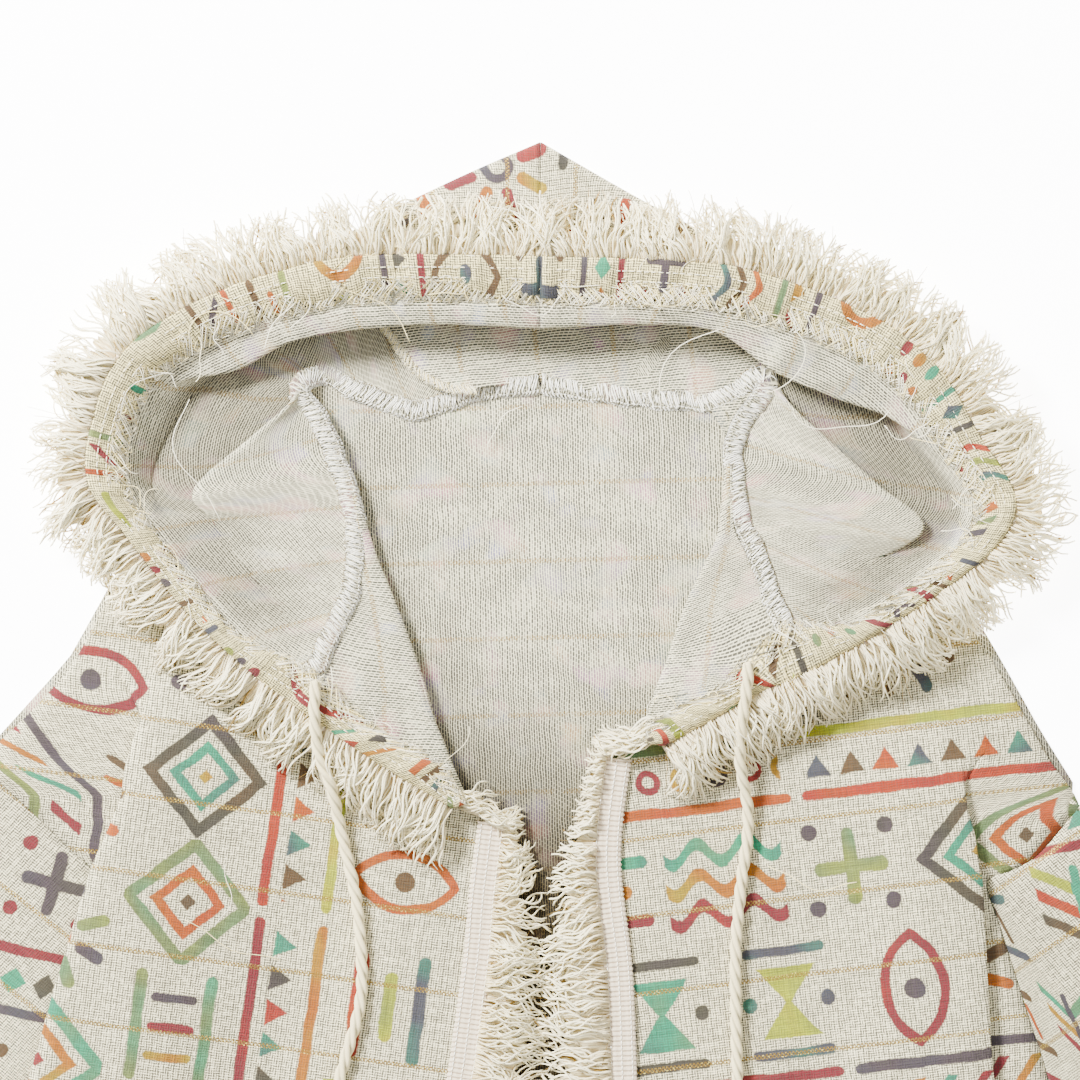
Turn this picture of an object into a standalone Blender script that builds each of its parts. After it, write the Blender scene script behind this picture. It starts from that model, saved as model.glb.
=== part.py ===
# Hooded kaftan with an open front, laid out on its back on a flat surface.
# The hood lies open with its mouth upwards, its edge turned back round the top,
# and the tops of the fronts are turned out as lapels. Sizes below are millimetres.
# X runs to the right, Y towards the crown of the hood, Z up from the surface.

import math
import random
from collections import namedtuple

import bpy
from mathutils import Vector

MM = 0.001

# Cloth and trims
WALL = 1.6                # thickness of every cloth wall
GAP = 0.3                 # gap between pieces that are sewn or lie together
CASING_WALL = 1.2         # the turned hem that forms the drawstring casing
CASING_WIDTH = 15.0       # width of the casing
CASING_LIFT = 3.3         # middle of the casing above the middle of the hood's edge
CASING_BULGE = 1.0        # how much higher the casing is half way across
TAPE_WALL = 1.2           # woven heading of the front trims
TAPE_WIDTH = 12.0
STRIP_WIDTH = 4.0         # heading of the hood fringe, outside the hood's edge
STRIP_WALL = 2.4
CORD_DIAMETER = 5.5
KNOT_RADIUS = 5.5
SEAM_GAP = 0.8            # gap between walls whose edges meet at a seam
NECK_GAP = 1.3            # that gap along the back of the neck, where the hood's edge slants

# Samples of the hood's surface
HOOD_ROWS = 28
HOOD_ACROSS = 16
BACK_NECK_ROWS = 4.2      # rows of the hood's table that are sewn to the back

# Fringe
FRINGE_LENGTH = 26.0      # from the hood's edge to the tips of the locks
FRONT_FRINGE_LENGTH = 27.0   # at most, because the locks stop short of the centre line
FRONT_FRINGE_STOP = 1.0   # least distance from a lock's tip to the centre line
HOOD_LOCK_PITCH = 8.6     # spacing of the locks round the hood
FRONT_LOCK_PITCH = 15.5   # spacing of the locks down the fronts
ROOT_SHARE = 0.66         # part of each spacing that a lock's root takes
TIP_SHARE = 0.62          # a lock's tip is narrower than its root
TIP_LOW = 9.4             # lowest middle of the hood fringe's tips
HOOD_FRINGE_FALL = 7.5    # how far the tips hang below the roots
FRONT_FRINGE_FALL = 1.6
LOCK_SWAY = 2.0           # sideways lean of the locks' tips
LOCK_STRAY = 0.9          # what a single lock's lean adds to that, at most

# Layers, as heights of a wall's middle above the surface
FLOOR = WALL / 2          # cloth that lies on the surface
SEAM_HIGH = 5.2           # upper layer of the sleeves, and the edge sewn to it
SHOULDER_HIGH = 2.9       # front edge on top of the back at shoulder and side
FRONT_HIGH = 4.0          # front panels over the back
FOLD_HIGH = 13.2          # top of the fold that runs down each front
LAYER = 4.0               # distance between the layers of that fold
TURN = 1.3                # how far inside a fold's edge its cloth starts to turn
TURN_DROP = 0.9           # how far below the layer the cloth is there
FOLD_SHOULDER = 8.0       # how far inside the fold line its top starts to fall
WAVE = 0.55               # height of the long waves of the front panels
LAPEL_UNDER = 7.0         # lower layer of the lapels' fold
LAPEL_OVER = 10.6         # upper layer of that fold
LAPEL_TUCK = 4.5          # how far the lower layer reaches under the lapel
TAPE_LIFT = 0.3           # room for the front panel's waves under the tape
STRIP_GAP = 1.2           # from the hood's edge to the heading of its fringe
STRIP_LIFT = 0.6          # middle of that heading above the edge's middle
CROWN_TOP = 176.0         # plan Y of the hood's peak
HEM = -880.0              # plan Y of the hem
PLAN_MIDDLE = (CROWN_TOP + WALL + HEM) / 2

# Armhole seam, from the top edge of the sleeve to the underarm
LEFT_SEAM = ((-249, -99), (-234, -113), (-220, -126), (-209, -137), (-199, -147),
             (-191, -170), (-192, -200), (-197, -235), (-205, -275))
RIGHT_SEAM = ((236, -117), (227, -128), (216, -140), (205, -146), (195, -151),
              (201, -171), (213, -209), (222, -238), (230, -290))

# Cuff line of each sleeve, from its top edge to its lower edge
LEFT_CUFF = ((-520, -440), (-415, -548))
RIGHT_CUFF = ((520, -475), (412, -583))
SLEEVE_BOW = 9.0          # how far the sleeve's top edge bows outwards half way

# Shoulder outline from the neck to the sleeve, and side seam down to the hem
LEFT_SHOULDER = ((-105, 65), (-130, 39), (-160, 9), (-192, -24), (-210, -56), (-228, -76))
RIGHT_SHOULDER = ((95, 66), (122, 39), (155, 2), (188, -36), (201, -58), (219, -90))
LEFT_SIDE = ((-223, -340), (-243, -450), (-264, -600), (-275, -750), (-283, HEM))
RIGHT_SIDE = ((236, -340), (251, -450), (267, -600), (277, -750), (283, HEM))

# Rows of each front panel: height y, inner edge, fold line, depth of the fold,
# outer edge, and how far the fold has formed (0 none, 1 whole)
FrontRow = namedtuple("FrontRow", "y inner fold depth outer formed")
LEFT_FRONT = (
    (52, -97.5, -110, 0, -116.5, 0.0),
    (26, -85, -128, 0, -142, 0.0),
    (0, -79, -146, 0, -167, 0.0),
    (-24, -67.5, -158, 0, -191, 0.0),
    (-54, -56, -165, 4, -208, 0.15),
    (-76, -49, -173, 9, -227, 0.55),
    (-99, -40.5, -182, 14, -248.5, 0.88),
    (-113, -34.5, -186, 17, -233.5, 1.0),
    (-121, -30.5, -189, 18, -225, 1.0),
    (-126, -18, -191, 19, -219.5, 1.0),
    (-137, -19, -196, 20, -208.5, 1.0),
    (-147, -20, -200, 23, -198.5, 1.0),
    (-170, -23, -207, 26, -190.5, 1.0),
    (-200, -26, -216, 33, -191.5, 1.0),
    (-235, -31, -226, 38, -196.5, 1.0),
    (-275, -33, -238, 42, -204.5, 1.0),
    (-340, -34, -250, 37, -221, 1.0),
    (-450, -35, -262, 29, -241, 1.0),
    (-600, -36, -276, 23, -262, 1.0),
    (-750, -36, -286, 21, -273, 1.0),
    (HEM, -36, -292, 19, -281, 1.0),
)
RIGHT_FRONT = (
    (56, 88, 103, 0, 107, 0.0),
    (28, 81.5, 118, 0, 131, 0.0),
    (0, 76, 133, 0, 155.5, 0.0),
    (-24, 64.5, 146, 0, 177, 0.0),
    (-54, 54.5, 156, 3, 197.5, 0.05),
    (-76, 45, 167, 6, 210.5, 0.15),
    (-92, 40, 174, 9, 219.5, 0.35),
    (-98, 27, 177, 10, 223, 0.5),
    (-117, 24.5, 184, 12, 235.5, 0.9),
    (-128, 23, 188, 13, 226.5, 1.0),
    (-140, 22, 190, 14, 215.5, 1.0),
    (-146, 22, 191, 14, 204.5, 1.0),
    (-151, 22.5, 192, 15, 194.5, 1.0),
    (-171, 25, 193, 15, 200.5, 1.0),
    (-209, 28, 195, 15, 212.5, 1.0),
    (-238, 29, 197, 16, 221.5, 1.0),
    (-290, 30, 205, 18, 229.5, 1.0),
    (-340, 31, 214, 19, 235, 1.0),
    (-450, 32, 232, 20, 250, 1.0),
    (-600, 33, 250, 21, 266, 1.0),
    (-750, 34, 262, 21, 276, 1.0),
    (HEM, 34, 270, 20, 282, 1.0),
)

# Sections of each hood half, from the crown to the front of the neck. Each row
# gives the mouth edge, the roll where the turned-back edge ends, the crown fold
# or the bottom of the hollow, the rise over the shoulder, the neck seam, all as
# x, y, z, and how far the edge is turned back (0 not at all, 1 whole)
HoodRow = namedtuple("HoodRow", "edge roll crown rise neck turned")
LEFT_HOOD = (
    ((-2.2, 122, 24), (-2.2, 93, 20), (-2.8, 175, 3.4), (-2.2, 92, 0.8), (-2.2, 67.3, 0.8), 1.0),
    ((-45, 123, 24), (-42, 95, 20), (-43, 157, 3.4), (-35, 88, 0.8), (-30, 63.3, 0.8), 1.0),
    ((-85, 122, 24), (-80, 93, 19), (-83, 136, 3.6), (-66, 78, 0.8), (-58, 55.3, 0.8), 0.9),
    ((-122, 114, 23), (-112, 87, 17), (-113, 110, 3.4), (-91, 80, 0.9), (-80, 62.3, 0.8), 0.6),
    ((-155, 101, 22), (-139, 84, 14), (-131, 87, 2.4), (-110, 79, 1.2), (-97, 70.4, 0.9), 0.25),
    ((-184, 80, 22), (-168, 74, 13), (-150, 68, 2.4), (-131, 64, 7.6), (-105.4, 66.4, 7.4), 0.0),
    ((-197, 50, 21), (-183, 48, 13), (-167, 44, 2.6), (-150, 42, 8.6), (-99, 55, 7.6), 0.0),
    ((-198, 24, 21), (-186, 23, 15), (-172, 22, 8.4), (-158, 22, 9.2), (-90, 37, 7.8), 0.0),
    ((-182, 2, 20), (-172, 3, 15), (-159, 5, 10), (-143, 8, 9.8), (-83, 14, 8.4), 0.0),
    ((-162, -24, 18), (-153, -21, 15), (-142, -18, 11.6), (-128, -15, 10.8), (-81, -8, 9.6), 0.0),
    ((-140, -47, 17), (-133, -43, 15), (-123, -39, 13), (-112, -36, 12), (-86, -29, 11.4), 0.0),
    ((-111, -70, 16), (-108, -66.5, 15.4), (-105, -63, 14.8), (-102, -59, 14.2), (-97, -53, 13.4), 0.0),
)
RIGHT_HOOD = (
    ((-1.8, 122, 24), (-1.8, 93, 20), (-1.2, 175, 3.4), (-1.8, 92, 0.8), (-1.8, 67.3, 0.8), 1.0),
    ((42, 121, 24), (39, 95, 20), (38, 152, 3.4), (32, 88, 0.8), (25, 62.3, 0.8), 1.0),
    ((80, 118, 25), (74, 92, 20), (76, 131, 3.6), (62, 82, 0.8), (52, 60.3, 0.8), 0.9),
    ((112, 109, 25), (103, 84, 18), (104, 108, 3.4), (85, 76, 0.9), (72, 58.3, 0.8), 0.6),
    ((146, 94, 25), (131, 79, 15), (123, 83, 2.4), (104, 76, 1.2), (86, 65.4, 0.9), 0.25),
    ((172, 72, 25), (157, 67, 14), (142, 63, 2.4), (122, 62, 7.6), (96.4, 70.4, 7.4), 0.0),
    ((189, 44, 25), (176, 43, 15), (160, 41, 2.6), (140, 41, 8.6), (88.4, 57, 7.6), 0.0),
    ((204, 18, 25), (191, 19, 17), (176, 20, 7.4), (158, 22, 9.2), (81.4, 42, 7.8), 0.0),
    ((196, -2, 23), (185, 0, 17), (171, 3, 10), (152, 7, 9.8), (81.4, 27, 8.2), 0.0),
    ((172, -22, 21), (162, -19, 17), (150, -16, 12), (135, -12, 10.8), (85, 8, 8.8), 0.0),
    ((143, -41, 19), (135, -37, 16), (126, -33, 13.2), (115, -26, 12), (92, -10, 10.2), 0.0),
    ((110, -58, 17), (108, -53, 16.4), (106, -47, 15.6), (104, -41, 14.6), (100, -30, 12.4), 0.0),
)

# Rows of each turned-out lapel: a point on the fold of the neckline and one on
# the outer edge, each as x, y, and the height of the outer edge
LapelRow = namedtuple("LapelRow", "crease edge high")
LEFT_LAPEL = (
    ((-74, -8), (-80.5, -10), 10.4),
    ((-69, -20), (-82.5, -21), 10.8),
    ((-62, -38), (-88, -36.5), 11.8),
    ((-57, -52), (-96.2, -53.6), 13.2),
    ((-53, -64), (-110, -70.8), 15.8),
    ((-50, -76), (-97, -80), 15.0),
    ((-46, -86), (-80, -92), 14.2),
    ((-42, -96), (-64, -102), 13.4),
    ((-38, -106), (-50, -111), 12.4),
    ((-33.5, -116), (-40, -117.5), 11.2),
)
RIGHT_LAPEL = (
    ((76, 2), (83.2, 5), 10.0),
    ((72, -8), (87.4, -4), 10.4),
    ((64, -24), (93.6, -18), 11.4),
    ((58, -40), (99, -31.4), 12.4),
    ((54, -53), (109.2, -58.8), 16.6),
    ((50, -63), (95, -65), 15.6),
    ((47, -72), (77, -75), 14.6),
    ((44, -80), (62, -83.5), 13.6),
    ((41, -88), (51, -90), 12.4),
)

# Outer edge of the tape on each front, from the point of the neckline down
LEFT_TAPE = ((-29, -124), (-33, -156), (-35.5, -184), (-41, -226), (-43.5, -250),
             (-45, -340), (-46, -450), (-47, -600), (-47, -750), (-47, HEM + 2))
RIGHT_TAPE = ((37.5, -97), (33, -140), (38, -189), (40, -238), (41, -290),
              (42, -340), (43, -450), (44, -600), (45, -750), (45, HEM + 2))

# Routes of the two drawcord ends in plan, from the casing to the knot
LEFT_CORD = ((-100.3, -61), (-101, -76), (-99, -94), (-93.7, -109), (-90.6, -124),
             (-86.7, -141), (-83.2, -157.5), (-81.4, -174), (-80.5, -194),
             (-82.3, -209), (-86.7, -224), (-91, -240), (-96, -262), (-99, -286),
             (-99, -310), (-96, -332), (-91, -352), (-87, -372))
RIGHT_CORD = ((89.3, -53), (88, -68), (85.8, -85), (85.8, -98.5), (88.9, -115),
              (89.3, -130), (87.1, -145.6), (84.9, -166.8), (84, -181.7),
              (84, -204.6), (84.9, -237.6), (87, -262), (91, -286), (94, -310),
              (93, -334), (89, -356))
# How far a cord runs above its place on the front panel, by its length from the casing
CORD_DROP = ((0, 14.6), (12, 14.6), (22, 13.0), (34, 9.8), (48, 6.2), (62, 1.6), (76, 0))
CORD_RISE = 24.0          # last stretch, which rises to the middle of the knot
CORD_CLEAR = 0.7          # room under the cord
CORD_POINTS = 42
FINE_STEPS = 400          # steps in which a smooth curve is measured
LAPEL_START = 5           # first row of a lapel that belongs to the mouth edge
SLEEVE_RINGS = 9
CASING_ROWS = 40

LEFT, RIGHT = -1, 1

# Colours and finishes
OATMEAL = (0.72, 0.68, 0.60, 1)
INSIDE = (0.66, 0.62, 0.55, 1)
IVORY = (0.80, 0.75, 0.62, 1)


def clear_scene():
    for obj in list(bpy.data.objects):
        bpy.data.objects.remove(obj, do_unlink=True)


def new_collection():
    found = bpy.data.collections.new("hooded_kaftan")
    bpy.context.scene.collection.children.link(found)
    return found


def make_material(name, colour, roughness):
    made = bpy.data.materials.new(name)
    made.use_nodes = True
    shader = made.node_tree.nodes["Principled BSDF"]
    shader.inputs["Base Color"].default_value = colour
    shader.inputs["Roughness"].default_value = roughness
    shader.inputs["Metallic"].default_value = 0.0
    return made


def mix(a, b, share):
    """The point, or number, that lies share of the way from a to b."""
    if isinstance(a, (int, float)):
        return a + (b - a) * share
    return tuple(p + (q - p) * share for p, q in zip(a, b))


def spline(points, place):
    """Point on a smooth curve through the points, place counted in points."""
    last = len(points) - 1
    place = min(max(place, 0.0), float(last))
    index = min(int(place), last - 1)
    t = place - index
    p0 = points[max(index - 1, 0)]
    p1, p2 = points[index], points[index + 1]
    p3 = points[min(index + 2, last)]
    found = []
    for a, b, c, d in zip(p0, p1, p2, p3):
        found.append(0.5 * (2 * b + (c - a) * t + (2 * a - 5 * b + 4 * c - d) * t * t
                            + (3 * b - a - 3 * c + d) * t ** 3))
    return tuple(found)


def smooth_curve(points, count):
    """The smooth curve through the points, as count points at even distances."""
    fine = [spline(points, i * (len(points) - 1) / FINE_STEPS) for i in range(FINE_STEPS + 1)]
    lengths = [0.0]
    for a, b in zip(fine, fine[1:]):
        lengths.append(lengths[-1] + math.dist(a, b))
    found = []
    step = 0
    for i in range(count):
        target = lengths[-1] * i / (count - 1)
        while step < FINE_STEPS - 1 and lengths[step + 1] < target:
            step += 1
        span = max(lengths[step + 1] - lengths[step], 1e-9)
        found.append(mix(fine[step], fine[step + 1], (target - lengths[step]) / span))
    return found


def path_length(points):
    return sum(math.dist(a, b) for a, b in zip(points, points[1:]))


def front_height(x, y):
    """Height of a front panel's middle, which lies in long low waves."""
    wave = math.sin(x / 31.0 + y / 83.0) + 0.6 * math.sin(y / 67.0 - x / 55.0 + 1.3)
    return FRONT_HIGH + WAVE * wave


def to_frame(point):
    x, y, z = point
    return (x * MM, (y - PLAN_MIDDLE) * MM, z * MM)


def add_mesh(name, points, faces, material, home):
    mesh = bpy.data.meshes.new(name)
    mesh.from_pydata([to_frame(p) for p in points], [], faces)
    mesh.update()
    mesh.materials.append(material)
    obj = bpy.data.objects.new(name, mesh)
    home.objects.link(obj)
    return obj


def add_sheet(name, rows, material, home, wall=WALL, closed=False, flip=False):
    """A cloth wall on a grid of points, rows of equal length."""
    across = len(rows[0])
    points = [point for row in rows for point in row]
    faces = []
    for r in range(len(rows) - 1):
        for c in range(across if closed else across - 1):
            d = (c + 1) % across
            face = (r * across + c, r * across + d, (r + 1) * across + d, (r + 1) * across + c)
            faces.append(face[::-1] if flip else face)
    obj = add_mesh(name, points, faces, material, home)
    solid = obj.modifiers.new("wall", "SOLIDIFY")
    solid.thickness = wall * MM
    solid.offset = 0.0
    solid.use_quality_normals = True
    return obj


def hood_section(row, count):
    """One section of the hood, from its mouth edge to the neck seam."""
    edge, roll, crown, rise, neck, turned = HoodRow(*row)
    inward = Vector((neck[0] - edge[0], neck[1] - edge[1])).normalized()

    def beside(point, distance, up):
        return (point[0] + inward[0] * distance, point[1] + inward[1] * distance, point[2] + up)

    plain = [
        edge,
        mix(edge, roll, 0.5),
        mix(edge, roll, 0.8),
        roll,
        mix(roll, crown, 0.33),
        mix(roll, crown, 0.6),
        mix(roll, crown, 0.82),
        crown,
        mix(crown, rise, 0.4),
        rise,
        mix(rise, neck, 0.5),
        neck,
    ]
    turned_back = [
        edge,
        beside(mix(edge, roll, 0.55), 0, 1.6),
        beside(roll, -7.0, 3.6),
        roll,
        beside(roll, -7.0, -3.8),
        beside(mix(roll, crown, 0.5), 0, 0.8),
        beside(crown, 7.0, 3.2),
        crown,
        beside(crown, 7.0, FLOOR - crown[2]),
        rise,
        mix(rise, neck, 0.5),
        neck,
    ]
    controls = [mix(a, b, turned) for a, b in zip(plain, turned_back)]
    return [spline(controls, i * (len(controls) - 1) / (count - 1)) for i in range(count)]


def hood_rows(table, rows, count):
    """Sections of a hood half, smooth from one row of its table to the next."""
    flat = [tuple(v for group in row[:5] for v in group) + (row[5],) for row in table]
    found = []
    for r in range(rows):
        values = spline(flat, r * (len(flat) - 1) / (rows - 1))
        groups = [values[i:i + 3] for i in range(0, 15, 3)]
        found.append(hood_section((*groups, min(max(values[15], 0.0), 1.0)), count))
    for row in found:
        for i, point in enumerate(row):
            if point[2] < FLOOR:
                row[i] = (point[0], point[1], FLOOR)
    return found


def front_section(row, side, seam_top):
    """One row of a front panel, from its inner edge over the fold to its seam."""
    y, inner, fold, depth, outer, formed = FrontRow(*row)
    low = SEAM_HIGH if y < seam_top else SHOULDER_HIGH
    inward = -side
    back = fold + inward * depth
    near = min(6.0, depth * 0.42)
    top = FOLD_HIGH
    folded = [(mix(inner, fold, share), front_height(mix(inner, fold, share), y))
              for share in (0.0, 0.28, 0.54)]
    folded += [
        (back + inward * FOLD_SHOULDER, top - TURN),
        (fold + inward * FOLD_SHOULDER, top),
        (fold + inward * TURN, top - TURN_DROP),
        (fold, top - 0.5 * LAYER),
        (fold + inward * TURN, top - LAYER + TURN_DROP),
        (fold + inward * near, top - LAYER),
        (back - inward * near, top - LAYER),
        (back - inward * TURN, top - LAYER - TURN_DROP),
        (back, top - 1.5 * LAYER),
        (back - inward * TURN, top - 2 * LAYER + TURN_DROP),
        (outer, low),
    ]
    last = len(folded) - 1
    found = []
    for i, (folded_x, folded_z) in enumerate(folded):
        share = i / 4
        x = mix(inner, fold, share) if i < 4 else mix(fold, outer, (i - 4) / (last - 4))
        z = mix(front_height(x, y), low, max(0.0, (i - 4) / (last - 4)))
        found.append((mix(x, folded_x, formed), y, mix(z, folded_z, formed)))
    return found


def front_rows(table, side, seam):
    return [front_section(row, side, seam[0][1] - 1) for row in table]


def lapel_rows(table):
    """Sections of a lapel, from under the fold of the neckline to its edge."""
    found = []
    for row in table:
        crease, edge, high = LapelRow(*row)
        out = Vector((edge[0] - crease[0], edge[1] - crease[1]))
        width = out.length
        out.normalize()
        tuck = min(LAPEL_TUCK, width * 0.6)
        section = (
            (tuck, LAPEL_UNDER),
            (TURN, LAPEL_UNDER + 0.3),
            (0.2, mix(LAPEL_UNDER, LAPEL_OVER, 0.5)),
            (TURN, LAPEL_OVER - 0.5),
            (tuck, LAPEL_OVER),
            (mix(tuck, width, 0.5), mix(LAPEL_OVER, high, 0.5)),
            (width, max(high, LAPEL_OVER + 0.2)),
        )
        found.append([(crease[0] + out[0] * reach, crease[1] + out[1] * reach, z) for reach, z in section])
    return found


def edge_path(hood_table, lapel_table):
    """The mouth edge from the crown down to the point of the lapel."""
    hood = [row[0] for row in hood_table]
    lapel = [(*edge, high) for crease, edge, high in lapel_table[LAPEL_START:]]
    return hood + lapel


def inward_path(hood_table, lapel_table):
    """Points a casing's width inside the mouth edge, one for each of its points."""
    found = []
    for row in hood_table:
        edge, roll, neck = row[0], row[1], row[4]
        span = math.dist(edge, roll)
        near_seam = span < CASING_WIDTH * 0.4
        found.append(mix(edge, neck, 0.62) if near_seam else mix(edge, roll, min(CASING_WIDTH / span, 0.92)))
    for crease, edge, high in lapel_table[LAPEL_START:]:
        width = math.dist(crease, edge)
        reach = min(CASING_WIDTH, width * 0.7) / width
        x, y = mix(edge, crease, reach)
        found.append((x, y, mix(high, mix(LAPEL_OVER, high, 0.5), reach / 0.4)))
    return found


def casing_rows(hood_table, lapel_table, rows):
    """The casing lies on the cloth's edge, a gap above its upper face."""
    edge = edge_path(hood_table, lapel_table)
    inside = inward_path(hood_table, lapel_table)
    outer = smooth_curve(edge, rows)
    found = []
    for a, place in zip(outer, nearest_places(edge, outer)):
        b = spline(inside, place)
        middle = mix(a, b, 0.5)
        found.append([
            (a[0], a[1], a[2] + CASING_LIFT),
            (middle[0], middle[1], middle[2] + CASING_LIFT + CASING_BULGE),
            (b[0], b[1], b[2] + CASING_LIFT),
        ])
    return found


def nearest_places(points, targets):
    """Where along the smooth curve through the points each target lies."""
    last = len(points) - 1
    fine = [spline(points, i * last / FINE_STEPS) for i in range(FINE_STEPS + 1)]
    found = []
    for target in targets:
        best = min(range(FINE_STEPS + 1), key=lambda i: math.dist(fine[i], target))
        found.append(best * last / FINE_STEPS)
    return found


def add_fringe(name, path, side, width, wall, length, pitch, material, home, droop, seed, middle=None):
    """A narrow heading along a path with locks standing out from its side.

    The locks are grown out of the heading's side faces, so heading and locks
    are one closed body. side is the sign that turns the path's direction
    towards the side where the locks hang. With a middle, the locks stop that
    far short of the garment's centre line.
    """
    draw = random.Random(seed)
    locks = int(path_length(path) / pitch)
    stops = [0.0]
    for i in range(locks):
        start = (i + (1 - ROOT_SHARE) / 2) / locks
        stops.append(start)
        stops.append(start + ROOT_SHARE / locks)
    stops.append(1.0)
    fine = smooth_curve(path, 4 * locks + 1)
    points = []
    outs = []
    for stop in stops:
        place = stop * (len(fine) - 1)
        index = min(int(place), len(fine) - 2)
        here = mix(fine[index], fine[index + 1], place - index)
        before, after = fine[max(index - 1, 0)], fine[min(index + 2, len(fine) - 1)]
        run = Vector((after[0] - before[0], after[1] - before[1])).normalized()
        out = Vector((run[1], -run[0])) * side
        outs.append(out)
        for distance, up in ((0.0, wall / 2), (width, wall / 2), (width, -wall / 2), (0.0, -wall / 2)):
            points.append((here[0] + out[0] * distance, here[1] + out[1] * distance, here[2] + up))
    faces = [(0, 1, 2, 3)]
    last = len(stops) - 1
    for i in range(last):
        a, b = 4 * i, 4 * (i + 1)
        for c in range(4):
            d = (c + 1) % 4
            if c == 1 and i % 2 == 1:
                continue
            faces.append((a + c, b + c, b + d, a + d))
    faces.append(tuple(4 * last + c for c in (3, 2, 1, 0)))
    for i in range(1, last, 2):
        root = (4 * i + 1, 4 * i + 5, 4 * i + 6, 4 * i + 2)
        out = (outs[i] + outs[i + 1]).normalized()
        along = Vector((-out[1], out[0]))
        lean = LOCK_SWAY * math.sin(i * 0.37 + seed) + draw.uniform(-LOCK_STRAY, LOCK_STRAY)
        reach = (length - width) * draw.uniform(0.86, 1.0)
        if middle is not None:
            reach = min(reach, abs(points[root[0]][0]) - middle * draw.uniform(1.0, 2.6))
        fall = min(droop, max(points[root[0]][2] - wall / 2 - TIP_LOW, 0.6))
        for share, narrow, drop in ((0.5, 0.86, 0.3), (1.0, TIP_SHARE, 1.0)):
            base = (4 * i + 1, 4 * i + 5, 4 * i + 6, 4 * i + 2)
            centre = [sum(points[v][k] for v in base) / 4 for k in range(3)]
            ring = []
            for v in base:
                offset = [(points[v][k] - centre[k]) * narrow for k in range(3)]
                shift = lean * share * share
                ring.append(len(points))
                points.append((
                    centre[0] + offset[0] + out[0] * reach * share + along[0] * shift,
                    centre[1] + offset[1] + out[1] * reach * share + along[1] * shift,
                    centre[2] + offset[2] - fall * drop,
                ))
            for c in range(4):
                d = (c + 1) % 4
                faces.append((root[c], root[d], ring[d], ring[c]))
            root = tuple(ring)
        faces.append(root)
    if side > 0:
        faces = [face[::-1] for face in faces]
    return add_mesh(name, points, faces, material, home)


def neck_line(hood, rows):
    """The back's neck edge, a gap below the hood's sections."""
    share = BACK_NECK_ROWS / (len(hood) - 1)
    sections = hood_rows(hood, rows, HOOD_ACROSS)
    return [(row[-1][0], row[-1][1] - NECK_GAP) for row in sections[:int(share * (rows - 1)) + 1]]


def add_back(material, home):
    """The back lies flat on the surface: a flat outline of even thickness."""
    outline = neck_line(LEFT_HOOD, HOOD_ROWS)[:0:-1] + neck_line(RIGHT_HOOD, HOOD_ROWS)
    outline += list(RIGHT_SHOULDER) + list(RIGHT_SEAM) + list(RIGHT_SIDE)
    outline += list(LEFT_SIDE[::-1]) + list(LEFT_SEAM[::-1]) + list(LEFT_SHOULDER[::-1])
    curve = bpy.data.curves.new("back", "CURVE")
    curve.dimensions = "2D"
    curve.fill_mode = "BOTH"
    curve.extrude = WALL / 2 * MM
    line = curve.splines.new("POLY")
    line.points.add(len(outline) - 1)
    for point, (x, y) in zip(line.points, outline):
        point.co = (*to_frame((x, y, 0))[:2], 0, 1)
    line.use_cyclic_u = True
    curve.materials.append(material)
    obj = bpy.data.objects.new("back", curve)
    obj.location.z = FLOOR * MM
    home.objects.link(obj)


def sleeve_rows(seam, cuff, rows):
    """Loops of a flattened sleeve, from the armhole seam to the cuff."""
    found = []
    last = len(seam) - 1
    for r in range(rows):
        share = r / (rows - 1)
        across = []
        for i, start in enumerate(seam):
            end = mix(cuff[0], cuff[1], i / last)
            run = Vector((end[0] - start[0], end[1] - start[1]))
            unit = run.normalized()
            side = Vector((-unit[1], unit[0])) * (1 if seam[0][0] > 0 else -1)
            bow = SLEEVE_BOW * math.sin(math.pi * share) * (1 - 2 * i / last)
            begin = (SEAM_GAP if i < last - 2 else 5 * SEAM_GAP) / run.length
            place = mix(start, end, mix(begin, 1.0, share))
            across.append((place[0] + side[0] * bow, place[1] + side[1] * bow))
        height = SEAM_HIGH + 2.0 * math.sin(math.pi * min(share * 1.4, 1.0))
        first_in = mix(across[0], across[1], 0.2)
        last_in = mix(across[-1], across[-2], 0.2)
        middle = across[1:-1]
        upper = [(*first_in, SEAM_HIGH)] + [(*p, height) for p in middle] + [(*last_in, SEAM_HIGH)]
        lower = [(*last_in, FLOOR)] + [(*p, FLOOR) for p in middle[::-1]] + [(*first_in, FLOOR)]
        edge = (FLOOR + SEAM_HIGH) / 2
        found.append([(*across[0], edge)] + upper + [(*across[-1], edge)] + lower)
    return found


def cord_points(route, count):
    """The drawcord drops from the casing over the fringe and lies on the front."""
    plan = smooth_curve(route, count)
    total = path_length(plan)
    found = []
    run = 0.0
    for i, (x, y) in enumerate(plan):
        if i:
            run = total * i / (count - 1)
        drop = 0.0
        for (a, high), (b, low) in zip(CORD_DROP, CORD_DROP[1:]):
            if a <= run <= b:
                drop = mix(high, low, (run - a) / (b - a))
        rise = max(0.0, 1 - (total - run) / CORD_RISE) * (KNOT_RADIUS - CORD_DIAMETER / 2)
        z = front_height(x, y) + WALL / 2 + CORD_DIAMETER / 2 + CORD_CLEAR + drop + rise
        found.append((x, y, z))
    return found


def add_cord(name, points, material, home):
    curve = bpy.data.curves.new(name, "CURVE")
    curve.dimensions = "3D"
    line = curve.splines.new("POLY")
    line.points.add(len(points) - 1)
    for place, point in zip(line.points, points):
        place.co = (*to_frame(point), 1)
    curve.bevel_depth = CORD_DIAMETER / 2 * MM
    curve.bevel_resolution = 2
    curve.use_fill_caps = True
    curve.materials.append(material)
    home.objects.link(bpy.data.objects.new(name, curve))


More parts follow.
